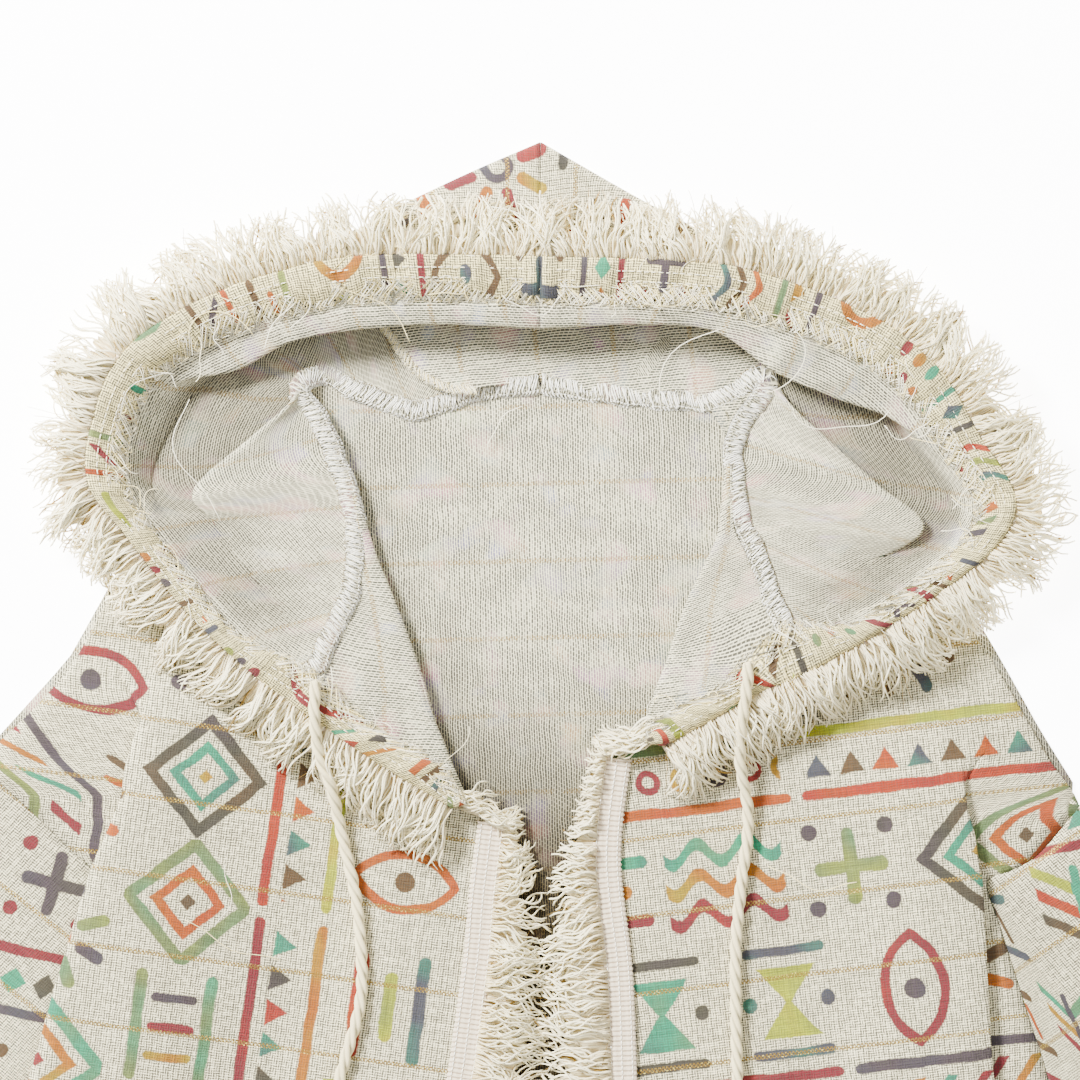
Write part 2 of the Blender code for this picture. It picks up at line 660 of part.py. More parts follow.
def add_knot(name, points, material, home):
    """The overhand knot at a cord's end, a plain rounded bead."""
    end, before = Vector(points[-1]), Vector(points[-2])
    run = Vector((end[0] - before[0], end[1] - before[1], 0)).normalized()
    centre = end + run * (KNOT_RADIUS + GAP)
    bpy.ops.mesh.primitive_uv_sphere_add(segments=10, ring_count=6, radius=KNOT_RADIUS * MM,
                                         location=to_frame(centre))
    knot = bpy.context.object
    knot.name = name
    knot.data.materials.append(material)
    for owner in list(knot.users_collection):
        owner.objects.unlink(knot)
    home.objects.link(knot)


def main():
    clear_scene()
    home = new_collection()
    outside = make_material("printed_cloth", OATMEAL, 0.9)
    inside = make_material("cloth_inside", INSIDE, 0.95)
    trim = make_material("ivory_trim", IVORY, 0.85)

    add_back(inside, home)
    sides = (
        ("left", LEFT, LEFT_FRONT, LEFT_SEAM, LEFT_CUFF, LEFT_HOOD, LEFT_LAPEL, LEFT_TAPE, LEFT_CORD),
        ("right", RIGHT, RIGHT_FRONT, RIGHT_SEAM, RIGHT_CUFF, RIGHT_HOOD, RIGHT_LAPEL, RIGHT_TAPE,
         RIGHT_CORD),
    )
    for word, side, front, seam, cuff, hood, lapel, tape, cord in sides:
        mirrored = side == RIGHT
        add_sheet("front_" + word, front_rows(front, side, seam), outside, home, flip=mirrored)
        add_sheet("sleeve_" + word, sleeve_rows(seam, cuff, SLEEVE_RINGS), outside, home, closed=True,
                  flip=mirrored)
        add_sheet("hood_" + word, hood_rows(hood, HOOD_ROWS, HOOD_ACROSS), inside, home, flip=mirrored)
        add_sheet("lapel_" + word, lapel_rows(lapel), inside, home, flip=mirrored)
        add_sheet("casing_" + word, casing_rows(hood, lapel, CASING_ROWS), outside, home, CASING_WALL,
                  flip=mirrored)
        add_fringe("hood_fringe_" + word, fringe_path(hood, lapel, side), -side, STRIP_WIDTH, STRIP_WALL,
                   FRINGE_LENGTH, HOOD_LOCK_PITCH, trim, home, HOOD_FRINGE_FALL, seed=3)
        add_fringe("front_trim_" + word, tape_path(tape), side, TAPE_WIDTH, TAPE_WALL,
                   TAPE_WIDTH + FRONT_FRINGE_LENGTH, FRONT_LOCK_PITCH, trim, home, FRONT_FRINGE_FALL, seed=5,
                   middle=FRONT_FRINGE_STOP)
        route = cord_points(cord, CORD_POINTS)
        add_cord("drawcord_" + word, route, trim, home)
        add_knot("drawcord_knot_" + word, route, trim, home)


def fringe_path(hood, lapel, side):
    """The heading of the hood fringe runs just outside the mouth edge."""
    path = smooth_curve(edge_path(hood, lapel), 80)
    found = []
    for i, point in enumerate(path):
        before, after = path[max(i - 1, 0)], path[min(i + 1, len(path) - 1)]
        run = Vector((after[0] - before[0], after[1] - before[1])).normalized()
        out = Vector((run[1], -run[0])) * -side
        found.append((point[0] + out[0] * STRIP_GAP, point[1] + out[1] * STRIP_GAP, point[2] + STRIP_LIFT))
    return found


def tape_path(tape):
    """The tape lies on the front panel, a gap above its upper face."""
    found = []
    lift = WALL / 2 + GAP + TAPE_WALL / 2 + TAPE_LIFT
    for x, y in smooth_curve(tape, 60):
        found.append((x, y, front_height(x, y) + lift))
    return found


main()
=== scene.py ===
import math
import random
from functools import partial

import bpy
import numpy as np
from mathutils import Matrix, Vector


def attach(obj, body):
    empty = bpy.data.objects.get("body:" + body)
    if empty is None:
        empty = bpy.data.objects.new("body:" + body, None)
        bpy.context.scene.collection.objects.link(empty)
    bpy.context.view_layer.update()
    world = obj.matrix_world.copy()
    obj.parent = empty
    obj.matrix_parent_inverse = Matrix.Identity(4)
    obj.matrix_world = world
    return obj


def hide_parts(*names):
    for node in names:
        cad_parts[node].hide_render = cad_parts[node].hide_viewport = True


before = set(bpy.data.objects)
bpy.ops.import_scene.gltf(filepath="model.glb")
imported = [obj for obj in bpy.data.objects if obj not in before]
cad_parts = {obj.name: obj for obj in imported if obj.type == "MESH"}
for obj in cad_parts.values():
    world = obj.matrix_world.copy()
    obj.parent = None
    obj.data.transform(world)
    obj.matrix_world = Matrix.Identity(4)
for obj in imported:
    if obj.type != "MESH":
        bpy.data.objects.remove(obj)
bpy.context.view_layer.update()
print("frame loaded:", len(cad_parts), "nodes")

mm = 0.001
plan = {"crownTop": 176.0, "wall": 1.6, "hem": -880.0, "fineSteps": 1200, "fineEdgeSteps": 1600}
planMiddle = (plan["crownTop"] + plan["wall"] + plan["hem"]) / 2
sideNames = {-1: "Left", 1: "Right"}


# Curves and grids

def toFrame(points):
    found = np.array(points, float)
    found[..., 1] -= planMiddle
    return found * mm


def splineAt(table, places):
    # smooth curve through the table's rows, places counted in rows
    table = np.asarray(table, float)
    last = len(table) - 1
    places = np.clip(np.asarray(places, float), 0, last)
    i = np.minimum(places.astype(int), last - 1)
    t = (places - i)[:, None]
    a, b = table[i], table[i + 1]
    before, after = table[np.maximum(i - 1, 0)], table[np.minimum(i + 2, last)]
    return 0.5 * (2 * a + (b - before) * t + (2 * before - 5 * a + 4 * b - after) * t ** 2
                  + (3 * a - before - 3 * b + after) * t ** 3)


def runLength(points):
    steps = np.linalg.norm(np.diff(points, axis=0), axis=1)
    return np.concatenate([[0.0], np.cumsum(steps)])


def alongPath(path, run, places):
    # points at some distances along a path, whose own points lie at the distances in run
    return np.stack([np.interp(places, run, path[:, k]) for k in range(path.shape[1])], axis=-1)


def evenPath(points, count):
    # the smooth curve through the points, at even distances
    fine = splineAt(points, np.linspace(0, len(points) - 1, plan["fineSteps"]))
    run = runLength(fine)
    return alongPath(fine, run, np.linspace(0, run[-1], count))


def loft(sections, places):
    # smooth curves through sections of control points, one row of points for each section
    points = splineAt(sections.transpose(1, 0, 2).reshape(sections.shape[1], -1), places)
    return points.reshape(len(places), len(sections), 3).transpose(1, 0, 2)


def runAcross(points):
    # distance along each row of points from its first
    run = np.linalg.norm(np.diff(points, axis=1), axis=2).cumsum(axis=1)
    return np.concatenate([np.zeros((len(points), 1)), run], axis=1)


def unit(vectors):
    return vectors / np.maximum(np.linalg.norm(vectors, axis=-1, keepdims=True), 1e-9)


def planNormals(path, side):
    # level directions square to the path, to the side that the sign gives
    run = unit(np.gradient(path[:, :2], axis=0))
    return np.stack([run[:, 1] * side, -run[:, 0] * side, np.zeros(len(run))], axis=1)


def smoothStep(low, high, values):
    t = np.clip((values - low) / (high - low), 0, 1)
    return t * t * (3 - 2 * t)


def plateau(rise, top, fall, end, values):
    # up from zero to one between the first two bounds, and down again between the last two
    return smoothStep(rise, top, values) * (1 - smoothStep(fall, end, values))


def between(a, b, *shares):
    return [a + (b - a) * share for share in shares]


def ripple(run, waves, turn=1):
    # a sum of waves: height, length over two pi, and phase
    return sum(height * np.sin(run / length + phase * turn) for height, length, phase in waves)


def creaseHeight(points, creases):
    # soft ridges and troughs: x0, y0, x1, y1, half width, height
    found = np.zeros(points.shape[:-1])
    for x0, y0, x1, y1, width, height in creases:
        run = np.array([x1 - x0, y1 - y0])
        length = np.linalg.norm(run)
        offset = points[..., :2] - np.array([x0, y0])
        along = (offset @ run) / length ** 2
        across = (offset @ np.array([-run[1], run[0]])) / length
        across = across - 0.12 * width * np.sin(along * 7.0 + x0)
        found += height * plateau(-0.12, 0.3, 0.7, 1.12, along) * np.exp(-(across / width) ** 2)
    return found


def gridPiece(name, points, uv, materials, wall=0.0, flip=False, closed=False, shade=None):
    # a grid primitive shaped to rows of points, with its own map in metres of flat cloth, and an optional
    # shade attribute of painted shade
    rows, across = points.shape[:2]
    bpy.ops.object.select_all(action="DESELECT")
    bpy.ops.mesh.primitive_grid_add(x_subdivisions=across - 1, y_subdivisions=rows - 1, size=1)
    piece = bpy.context.object
    piece.name = name
    mesh = piece.data
    mesh.vertices.foreach_set("co", toFrame(points).reshape(-1).astype(np.float32))
    corner = np.zeros(len(mesh.loops), int)
    mesh.loops.foreach_get("vertex_index", corner)
    layer = mesh.uv_layers[0]
    layer.name = "cloth"
    layer.data.foreach_set("uv", uv.reshape(-1, 2)[corner].reshape(-1).astype(np.float32))
    # painted shade: the shade attribute tells the inside finish how much darker to paint each point
    if shade is not None:
        depth = mesh.attributes.new("shade", "FLOAT", "POINT")
        depth.data.foreach_set("value", shade.reshape(-1).astype(np.float32))
    mesh.update()
    bpy.ops.object.mode_set(mode="EDIT")
    bpy.ops.mesh.select_all(action="SELECT")
    if closed:
        bpy.ops.mesh.remove_doubles(threshold=0.00002)
    if flip:
        bpy.ops.mesh.flip_normals()
    bpy.ops.object.mode_set(mode="OBJECT")
    for material in materials:
        mesh.materials.append(material)
    if wall:
        thicken = piece.modifiers.new("wall", "SOLIDIFY")
        thicken.thickness = wall * mm
        thicken.offset = 0.0
        thicken.use_quality_normals = True
        if len(materials) > 1:
            thicken.material_offset = 1
        bpy.ops.object.modifier_apply(modifier=thicken.name)
    bpy.ops.object.shade_smooth()
    return piece


def tubePiece(name, centres, radii, tones, materials, sides=3):
    # many threads as one mesh: centres is thread x step x 3, radii thread x step
    threads, steps = centres.shape[:2]
    run = unit(np.gradient(centres, axis=1))
    reference = np.where(np.abs(run[..., 2:3]) > 0.9, [[[1.0, 0.0, 0.0]]], [[[0.0, 0.0, 1.0]]])
    first = unit(np.cross(run, reference))
    second = np.cross(run, first)
    turn = np.arange(sides) * 2 * math.pi / sides
    ring = (first[:, :, None] * np.cos(turn)[None, None, :, None]
            + second[:, :, None] * np.sin(turn)[None, None, :, None])
    points = centres[:, :, None] + ring * radii[:, :, None, None]
    thread, step, side = np.indices((threads, steps - 1, sides))
    here = (thread * steps + step) * sides
    following = (side + 1) % sides
    faces = np.stack([here + side, here + following, here + sides + following, here + sides + side], axis=-1)
    starts = np.arange(threads)[:, None] * steps * sides
    caps = np.concatenate([starts + np.arange(sides)[::-1], starts + (steps - 1) * sides + np.arange(sides)])
    mesh = bpy.data.meshes.new(name)
    faces = faces.reshape(-1, 4).tolist() + caps.tolist()
    mesh.from_pydata(toFrame(points).reshape(-1, 3).tolist(), [], faces)
    mesh.update()
    tone = mesh.attributes.new("tone", "FLOAT", "POINT")
    tone.data.foreach_set("value", np.repeat(tones, steps * sides).astype(np.float32))
    along = mesh.attributes.new("along", "FLOAT", "POINT")
    share = np.tile(np.repeat(np.linspace(0, 1, steps), sides), threads)
    along.data.foreach_set("value", share.astype(np.float32))
    mesh.polygons.foreach_set("use_smooth", np.ones(len(mesh.polygons), bool))
    for material in materials:
        mesh.materials.append(material)
    piece = bpy.data.objects.new(name, mesh)
    bpy.context.scene.collection.objects.link(piece)
    return piece


def bandPiece(name, path, out, section, materials, wall=0.0, flip=False, shade=0.0):
    # a band of even section along a path; the section is a list of distance out and height; shade is painted
    # shade, the same all along
    section = np.array(section, float)
    run = runLength(path)
    points = path[:, None] + out[:, None] * section[None, :, :1]
    points[..., 2] += section[None, :, 1]
    across = runLength(section)
    uv = turnedMap(run[:, None], across[None], 0)
    return gridPiece(name, points, uv, materials, wall, flip, shade=np.full(points.shape[:2], shade))


def placed(path, out, run, across, up):
    # points at distances along a path, and out from it
    length = runLength(path)
    found = alongPath(path, length, run) + alongPath(out, length, run) * np.asarray(across)[..., None]
    found[..., 2] += up
    return found


sewing = {
    "stitchRise": 0.28, "stitchTone": 0.8, "stitchSteps": 4,
    # overlocked threads: steps in a swing, distance between their random places, and how the swing is shaped
    "swingSteps": 6, "spot": 2.6, "clip": 1.35, "grow": 0.25, "hook": 0.45, "hump": 0.25, "tones": (0.9, 0.2),
}


def stitchLine(name, path, out, across, up, material, pitch, length, radius, sides):
    starts = np.arange(1.0, runLength(path)[-1] - pitch, pitch)
    share = np.linspace(0, 1, sewing["stitchSteps"])
    run = starts[:, None] + length * share[None]
    lift = np.broadcast_to(up + sewing["stitchRise"] * np.sin(math.pi * share), run.shape)
    centres = placed(path, out, run, np.full(run.shape, across), lift)
    tones = np.full(len(starts), sewing["stitchTone"])
    return tubePiece(name, centres, np.full(run.shape, radius), tones, [material], sides)


def overlockNet(name, path, out, net, heightAt, material, seed):
    # crossing zigzag threads with looped ends, a little uneven
    draw = random.Random(seed)
    low, high, pitch, uneven = net["low"], net["high"], net["pitch"], net["uneven"]
    length = runLength(path)[-1]
    run = np.linspace(0.5, length - 0.5, int(length / pitch * sewing["swingSteps"]))
    spots = np.linspace(0, length, int(length / sewing["spot"]))
    pieces = []
    for shift in net["shifts"]:
        jitter, grow, push = (np.interp(run, spots, [draw.uniform(-uneven, uneven) for _ in spots])
                              for _ in range(3))
        phase = run / pitch + shift + 0.2 * push
        swing = np.clip(np.sin(2 * math.pi * phase) * sewing["clip"], -1, 1)
        across = (low + high) / 2 + (high - low) / 2 * swing * (1 + sewing["grow"] * grow) + jitter
        forward = run + sewing["hook"] * pitch * np.sin(4 * math.pi * phase) + push
        up = heightAt(across) + sewing["hump"] * np.cos(2 * math.pi * phase)
        pieces.append(placed(path, out, forward, across, up))
    centres = np.stack(pieces)
    tones = np.linspace(*sewing["tones"], len(pieces))
    return tubePiece(name, centres, np.full(centres.shape[:2], net["radius"]), tones, [material], 3)


def settle(piece, slot, *nodes):
    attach(piece, "root")
    if nodes:
        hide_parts(*nodes)
    return piece


# Camera

camera = {"x": -2.2, "y": 0.0, "height": 2600.0, "level": 10.0, "width": 475.2, "sensor": 36.0}


def makeCamera():
    made = bpy.data.cameras.new("camera")
    made.sensor_width = camera["sensor"]
    made.lens = camera["sensor"] * (camera["height"] - camera["level"]) / camera["width"]
    made.clip_end = 20
    holder = bpy.data.objects.new("camera", made)
    holder.location = toFrame((camera["x"], camera["y"], camera["height"]))
    bpy.context.scene.collection.objects.link(holder)
    bpy.context.scene.camera = holder


makeCamera()


# Shader graphs: each helper adds one node to the tree in hand and gives its output

graph = {"tree": None, "columns": 12}


def node(kind, **settings):
    tree = graph["tree"]
    made = tree.nodes.new("ShaderNode" + kind)
    column, row = divmod(len(tree.nodes), graph["columns"])
    made.location = (column * 190, row * -170)
    for name, value in settings.items():
        setattr(made, name, value)
    return made


def plug(socket, value):
    if isinstance(value, bpy.types.NodeSocket):
        graph["tree"].links.new(value, socket)
    else:
        socket.default_value = value


def calc(operation, *values):
    made = node("Math", operation=operation)
    for socket, value in zip(made.inputs, values):
        plug(socket, value)
    return made.outputs[0]


def chained(operation, first, *others):
    for value in others:
        first = calc(operation, first, value)
    return first


plus, times, least, most = (partial(chained, name) for name in ("ADD", "MULTIPLY", "MINIMUM", "MAXIMUM"))
minus, over, below = (partial(calc, name) for name in ("SUBTRACT", "GREATER_THAN", "LESS_THAN"))
size, whole, nearest = (partial(calc, name) for name in ("ABSOLUTE", "FLOOR", "ROUND"))
cycle = partial(calc, "FLOORED_MODULO")


def wave(value, pitch):
    return calc("COSINE", times(value, 2 * math.pi / pitch))


def about(value, amount):
    # a share made to swing both ways by half the amount
    return times(minus(value, 0.5), amount)


def eased(value, low, high, toLow=0.0, toHigh=1.0):
    made = node("MapRange", interpolation_type="SMOOTHSTEP")
    for socket, given in zip(made.inputs, (value, low, high, toLow, toHigh)):
        plug(socket, given)
    return made.outputs[0]


def chosen(flag, ifNot, ifSo):
    # one of two numbers, or a share of both
    made = node("Mix", data_type="FLOAT")
    plug(made.inputs[0], flag)
    plug(made.inputs[2], ifNot)
    plug(made.inputs[3], ifSo)
    return made.outputs[0]


def blended(share, a, b, kind="MIX"):
    made = node("Mix", data_type="RGBA", blend_type=kind)
    plug(made.inputs[0], share)
    plug(made.inputs[6], a)
    plug(made.inputs[7], b)
    return made.outputs[2]


def vector(x, y, z=0.0):
    made = node("CombineXYZ")
    for socket, value in zip(made.inputs, (x, y, z)):
        plug(socket, value)
    return made.outputs[0]


def parts(value):
    made = node("SeparateXYZ")
    plug(made.inputs[0], value)
    return made.outputs


def noise(place, scale, detail=1.0, rough=0.5):
    made = node("TexNoise")
    plug(made.inputs["Vector"], place)
    made.inputs["Scale"].default_value = scale
    made.inputs["Detail"].default_value = detail
    made.inputs["Roughness"].default_value = rough
    return made.outputs


def chance(place):
    # random value and colour, the same all over each whole number of the place
    made = node("TexWhiteNoise", noise_dimensions="3D")
    plug(made.inputs["Vector"], place)
    return made.outputs


def capsule(x, y, half, radius):
    reach = most(minus(size(x), half), 0.0)
    return minus(distance(reach, y), radius)


def distance(x, y):
    return calc("SQRT", plus(times(x, x), times(y, y)))


def ring(x, y, middle, radius):
    return minus(size(minus(distance(x, y), middle)), radius)


def strokes(line, slope, half, place, end):
    # strokes along lines, cut off at a distance
    return most(minus(times(size(line), slope), half), minus(place, end))


def repeated(value, pitch, last):
    # the value from the nearest of a row of places, and that place's number
    number = least(most(nearest(times(value, 1 / pitch)), -last), last)
    return minus(value, times(number, pitch)), number


def startGroup(name, outputs):
    # a group that takes a place on the cloth, with that place and the sockets for its results
    tree = bpy.data.node_groups.new(name, "ShaderNodeTree")
    tree.interface.new_socket("Place", in_out="INPUT", socket_type="NodeSocketVector")
    for label, kind in outputs:
        tree.interface.new_socket(label, in_out="OUTPUT", socket_type="NodeSocket" + kind)
    graph["tree"] = tree
    place = tree.nodes.new("NodeGroupInput").outputs["Place"]
    return tree, place, tree.nodes.new("NodeGroupOutput").inputs


def useGroup(tree, place):
    made = node("Group", node_tree=tree)
    plug(made.inputs["Place"], place)
    return made.outputs


def startFinish(name, specular, sheen=0.0, roughness=0.5):
    made = bpy.data.materials.new(name)
    made.use_nodes = True
    graph["tree"] = made.node_tree
    inputs = made.node_tree.nodes["Principled BSDF"].inputs
    inputs["Specular IOR Level"].default_value = specular
    inputs["Sheen Weight"].default_value = sheen
    inputs["Roughness"].default_value = roughness
    return made, inputs


def bumped(inputs, height, depth, strength=1.0):
    made = node("Bump")
    made.inputs["Strength"].default_value = strength
    made.inputs["Distance"].default_value = depth * mm
    plug(made.inputs["Height"], height)
    plug(inputs["Normal"], made.outputs[0])


# Print: rows of motifs drawn in rounded strokes, with a border of bars between each pair of rows

design = {
    "period": 150.0, "rowHeight": 56.0, "borderMiddle": 75.0, "cell": 56.0, "segment": 132.0, "small": 15.0,
    "wobble": 2.4, "wobbleScale": 0.075, "stroke": 2.8, "partStep": 0.2727, "hueDrift": 2.6, "fray": 1.1,
    "hueScale": 0.035, "frayScale": 0.9, "edge": 0.45, "barAt": 14.0, "barHalf": 2.5, "barShort": 5.0,
    # share of the cells that aren't turned, and a motif's least size and how much it may grow
    "upright": 0.55, "least": 0.93, "grow": 0.14,
    # hues in order round the palette, so that neighbours blend along a stroke
    "inks": ((0.160, 0.013, 0.020), (0.300, 0.024, 0.009), (0.340, 0.064, 0.004), (0.330, 0.110, 0.004),
             (0.320, 0.350, 0.012), (0.120, 0.160, 0.052), (0.016, 0.240, 0.120), (0.046, 0.050, 0.064),
             (0.050, 0.034, 0.042), (0.043, 0.039, 0.026), (0.083, 0.044, 0.016)),
}


def motifShapes(x, y):
    # distance to the strokes and number of the part, for each kind of motif
    stroke = design["stroke"]
    ax, ay = size(x), size(y)
    spread = plus(ax, ay)
    shapes = []

    lozenges = least(minus(times(size(minus(spread, 26)), 0.71), stroke),
                     minus(times(size(minus(spread, 14)), 0.71), 2.2), minus(times(spread, 0.71), 2.6))
    shapes.append((lozenges, plus(over(spread, 20), over(spread, 7))))

    angle = calc("ARCTAN2", y, x)
    reach = distance(x, y)
    sector = 2 * math.pi / 8
    folded = minus(cycle(angle, sector), sector / 2)
    outward, aside = times(reach, calc("COSINE", folded)), times(reach, calc("SINE", folded))
    petal = capsule(minus(outward, 17.5), aside, 4.6, 2.9)
    petalNumber = cycle(whole(times(angle, 1 / sector)), 2.0)
    heart = minus(size(minus(reach, 5.5)), 2.1)
    shapes.append((least(petal, heart), times(over(reach, 9), plus(petalNumber, 1))))

    line, number = repeated(plus(y, times(ax, 0.7), -6.0), 12.0, 1.0)
    shapes.append((strokes(line, 0.8, stroke, ax, 22), number))

    line, number = repeated(plus(y, times(wave(x, 21.0), 4.2)), 13.0, 1.0)
    shapes.append((strokes(line, 0.78, 2.4, ax, 25), number))

    line, number = repeated(minus(y, times(ax, 0.8)), 11.5, 1.0)
    leaves = strokes(line, 0.78, 2.4, ax, 18)
    shapes.append((least(capsule(y, x, 22, 2.0), leaves), times(over(ax, 2.4), plus(number, 2))))

    arms = least(capsule(x, y, 13, 3.0), capsule(y, x, 13, 3.0))
    dots = minus(distance(minus(ax, 16), minus(ay, 16)), 3.6)
    shapes.append((least(arms, dots), below(dots, arms)))

    waist = most(times(plus(ax, times(ay, -0.75), -1.5), 0.8), minus(ay, 15.5))
    ends = capsule(x, minus(ay, 22.5), 16, 2.3)
    sides = minus(distance(minus(ax, 17), y), 3.4)
    shapes.append((least(waist, ends, sides), plus(below(ends, waist), over(minus(ax, ay), 8))))

    rails = capsule(y, minus(ax, 15.5), 22, stroke)
    line, number = repeated(y, 13.0, 1.0)
    rungs = capsule(x, line, 8.5, 2.2)
    shapes.append((least(rails, rungs), times(below(rungs, rails), plus(number, 2))))

    almond = minus(distance(x, plus(ay, 15)), 28)
    shapes.append((least(minus(size(almond), 2.3), minus(reach, 4.8)), over(reach, 9)))

    rising, falling = times(plus(x, y), 0.707), times(minus(x, y), 0.707)
    crossed = least(capsule(rising, falling, 10, 2.2), capsule(falling, rising, 10, 2.2))
    shapes.append((least(ring(x, y, 21.0, stroke), crossed), over(reach, 16)))

    line, number = repeated(x, 13.0, 1.0)
    shapes.append((capsule(y, line, plus(12.0, times(size(number), 8.0)), 2.9), number))

    lineX, numberX = repeated(x, 12.5, 1.0)
    lineY, numberY = repeated(y, 12.5, 1.0)
    shapes.append((minus(distance(lineX, lineY), 3.9), size(plus(numberX, numberY))))
    return shapes


def borderShapes(x, y):
    small = design["small"]
    local = minus(cycle(x, small), small / 2)
    number = cycle(whole(times(x, 1 / small)), 3.0)
    ax = size(local)
    shapes = [
        most(times(plus(ax, times(y, 0.6), -2.2), 0.85), minus(size(y), 6.5)),
        ring(local, y, 4.0, 1.6),
        strokes(minus(local, times(y, 0.7)), 0.82, 2.1, size(y), 7.0),
        times(minus(plus(ax, size(y)), 6.0), 0.71),
    ]
    return [(shape, number) for shape in shapes]


def pick(shapes, kind):
    # the shape and part whose number is the kind
    shape, part = 0.0, 0.0
    for i, (found, number) in enumerate(shapes):
        flag = calc("COMPARE", kind, float(i), 0.5)
        shape = plus(times(found, flag), shape)
        part = plus(times(number, flag), part)
    return shape, part


def makeDesign():
    tree, place, result = startGroup("printDesign", (("Mask", "Float"), ("Ink", "Color")))
    rough = parts(noise(place, design["wobbleScale"])["Color"])
    x, y = parts(place)[:2]
    x, y = (plus(value, about(push, design["wobble"])) for value, push in ((x, rough[0]), (y, rough[1])))
    period, height = design["period"], design["rowHeight"]
    band = whole(times(y, 1 / period))
    within = minus(y, times(band, period))
    isUpper = over(within, period - height)
    isBorder = minus(over(within, height), isUpper)
    row = plus(times(band, 3.0), times(isUpper, 2.0), isBorder)
    rowChance = parts(chance(vector(row, 3.0))["Color"])

    cell = design["cell"]
    shifted = plus(x, times(rowChance[0], cell))
    column = whole(times(shifted, 1 / cell))
    cellChance = chance(vector(column, row, 7.0))
    luck = parts(cellChance["Color"])
    localX = minus(shifted, times(plus(column, 0.5), cell))
    localY = minus(within, chosen(isUpper, height / 2, period - height / 2))
    turned = over(luck[0], design["upright"])
    grow = plus(design["least"], times(luck[1], design["grow"]))
    px = calc("DIVIDE", chosen(turned, localX, localY), grow)
    py = calc("DIVIDE", chosen(turned, localY, localX), grow)
    shapes = motifShapes(px, py)
    motif, motifPart = pick(shapes, whole(times(cellChance["Value"], float(len(shapes)))))

    segment = design["segment"]
    shifted = plus(x, times(rowChance[1], segment))
    number = whole(times(shifted, 1 / segment))
    borderChance = chance(vector(number, row, 11.0))
    localX = minus(shifted, times(plus(number, 0.5), segment))
    localY = minus(within, design["borderMiddle"])
    shapes = borderShapes(shifted, localY)
    inner, innerPart = pick(shapes, whole(times(borderChance["Value"], float(len(shapes)))))
    inner = most(inner, minus(size(localX), segment / 2 - 6))
    barY = minus(size(localY), design["barAt"])
    bars = capsule(localX, barY, segment / 2 - design["barShort"], design["barHalf"])
    isBar = below(bars, inner)
    border = least(bars, inner)
    borderPart = chosen(isBar, plus(innerPart, 2.0), over(localY, 0.0))

    shape = chosen(isBorder, motif, border)
    part = chosen(isBorder, motifPart, borderPart)
    start = chosen(isBorder, luck[2], parts(borderChance["Color"])[2])
    count = len(design["inks"])
    hue = whole(times(calc("FRACT", plus(start, times(part, design["partStep"]))), float(count)))
    drift = about(noise(place, design["hueScale"])["Fac"], design["hueDrift"])
    hue = times(plus(hue, 0.5, drift), 1 / count)
    ramp = node("ValToRGB")
    stops = ramp.color_ramp.elements
    while len(stops) < count:
        stops.new(0.5)
    for i, ink in enumerate(design["inks"]):
        stops[i].position = (i + 0.5) / count
        stops[i].color = (*ink, 1)
    plug(ramp.inputs[0], hue)
    frayed = about(noise(place, design["frayScale"])["Fac"], design["fray"])
    plug(result["Mask"], eased(plus(shape, frayed), design["edge"], -design["edge"]))
    plug(result["Ink"], ramp.outputs[0])
    return tree


printDesign = makeDesign()


# Cloth: a two-and-two twill with uneven threads, and a row of gilt dashes every few centimetres

weave = {
    "thread": (0.97, 0.88, 0.56, 1), "gap": (0.060, 0.055, 0.038, 1), "casing": (0.97, 0.83, 0.38, 1),
    "inside": (0.96, 0.89, 0.60, 1), "insideGap": (0.045, 0.043, 0.034, 1), "giltBack": (0.30, 0.19, 0.05, 1),
    # shadeTint: the colour that painted shade darkens the inside towards
    "ghost": (0.75, 0.33, 0.22, 1), "coolGhost": (0.22, 0.33, 0.50, 1), "shadeTint": (0.085, 0.066, 0.040, 1),
    # glint: the colour of painted glints on the gilt dashes
    "gilt": (0.21, 0.12, 0.015, 1), "glint": (0.78, 0.62, 0.14, 1),
    # distance between threads, and how far and over what scale they drift
    "pitch": 1.12, "drift": 0.9, "driftScale": 0.16,
    # dark lines and holes between the threads: where each fades, how deep it is, and how it varies
    "line": (0.78, 0.16), "lineDepth": 0.68, "hole": (1.10, 0.40), "weakHole": 0.25,
    "holeLuck": (0.0, 0.9, 0.40, 1.40), "looseScale": 0.35, "loose": (0.32, 0.66, 0.80, 1.40),
    "slub": (0.9, 0.7), "slubStretch": 0.03,
    # gilt stripes: distance, width, wander, and the pitch of their dashes and where each fades
    "stripe": 34.0, "stripeWidth": 1.3, "stripeWander": 0.8, "dash": 1.7, "dashEnds": (-0.7, 0.1),
}
# the printed side: gap depth off and on the print, and what is gilt in it, with painted glints
printedSide = {
    "specular": 0.25, "sheen": 0.08, "gapShare": (0.94, 0.42), "glintScale": 1.3, "glintOver": 0.62,
    "giltShare": 0.9, "metal": 0.35, "rough": (0.9, 0.4), "bump": (0.35, 0.6),
}
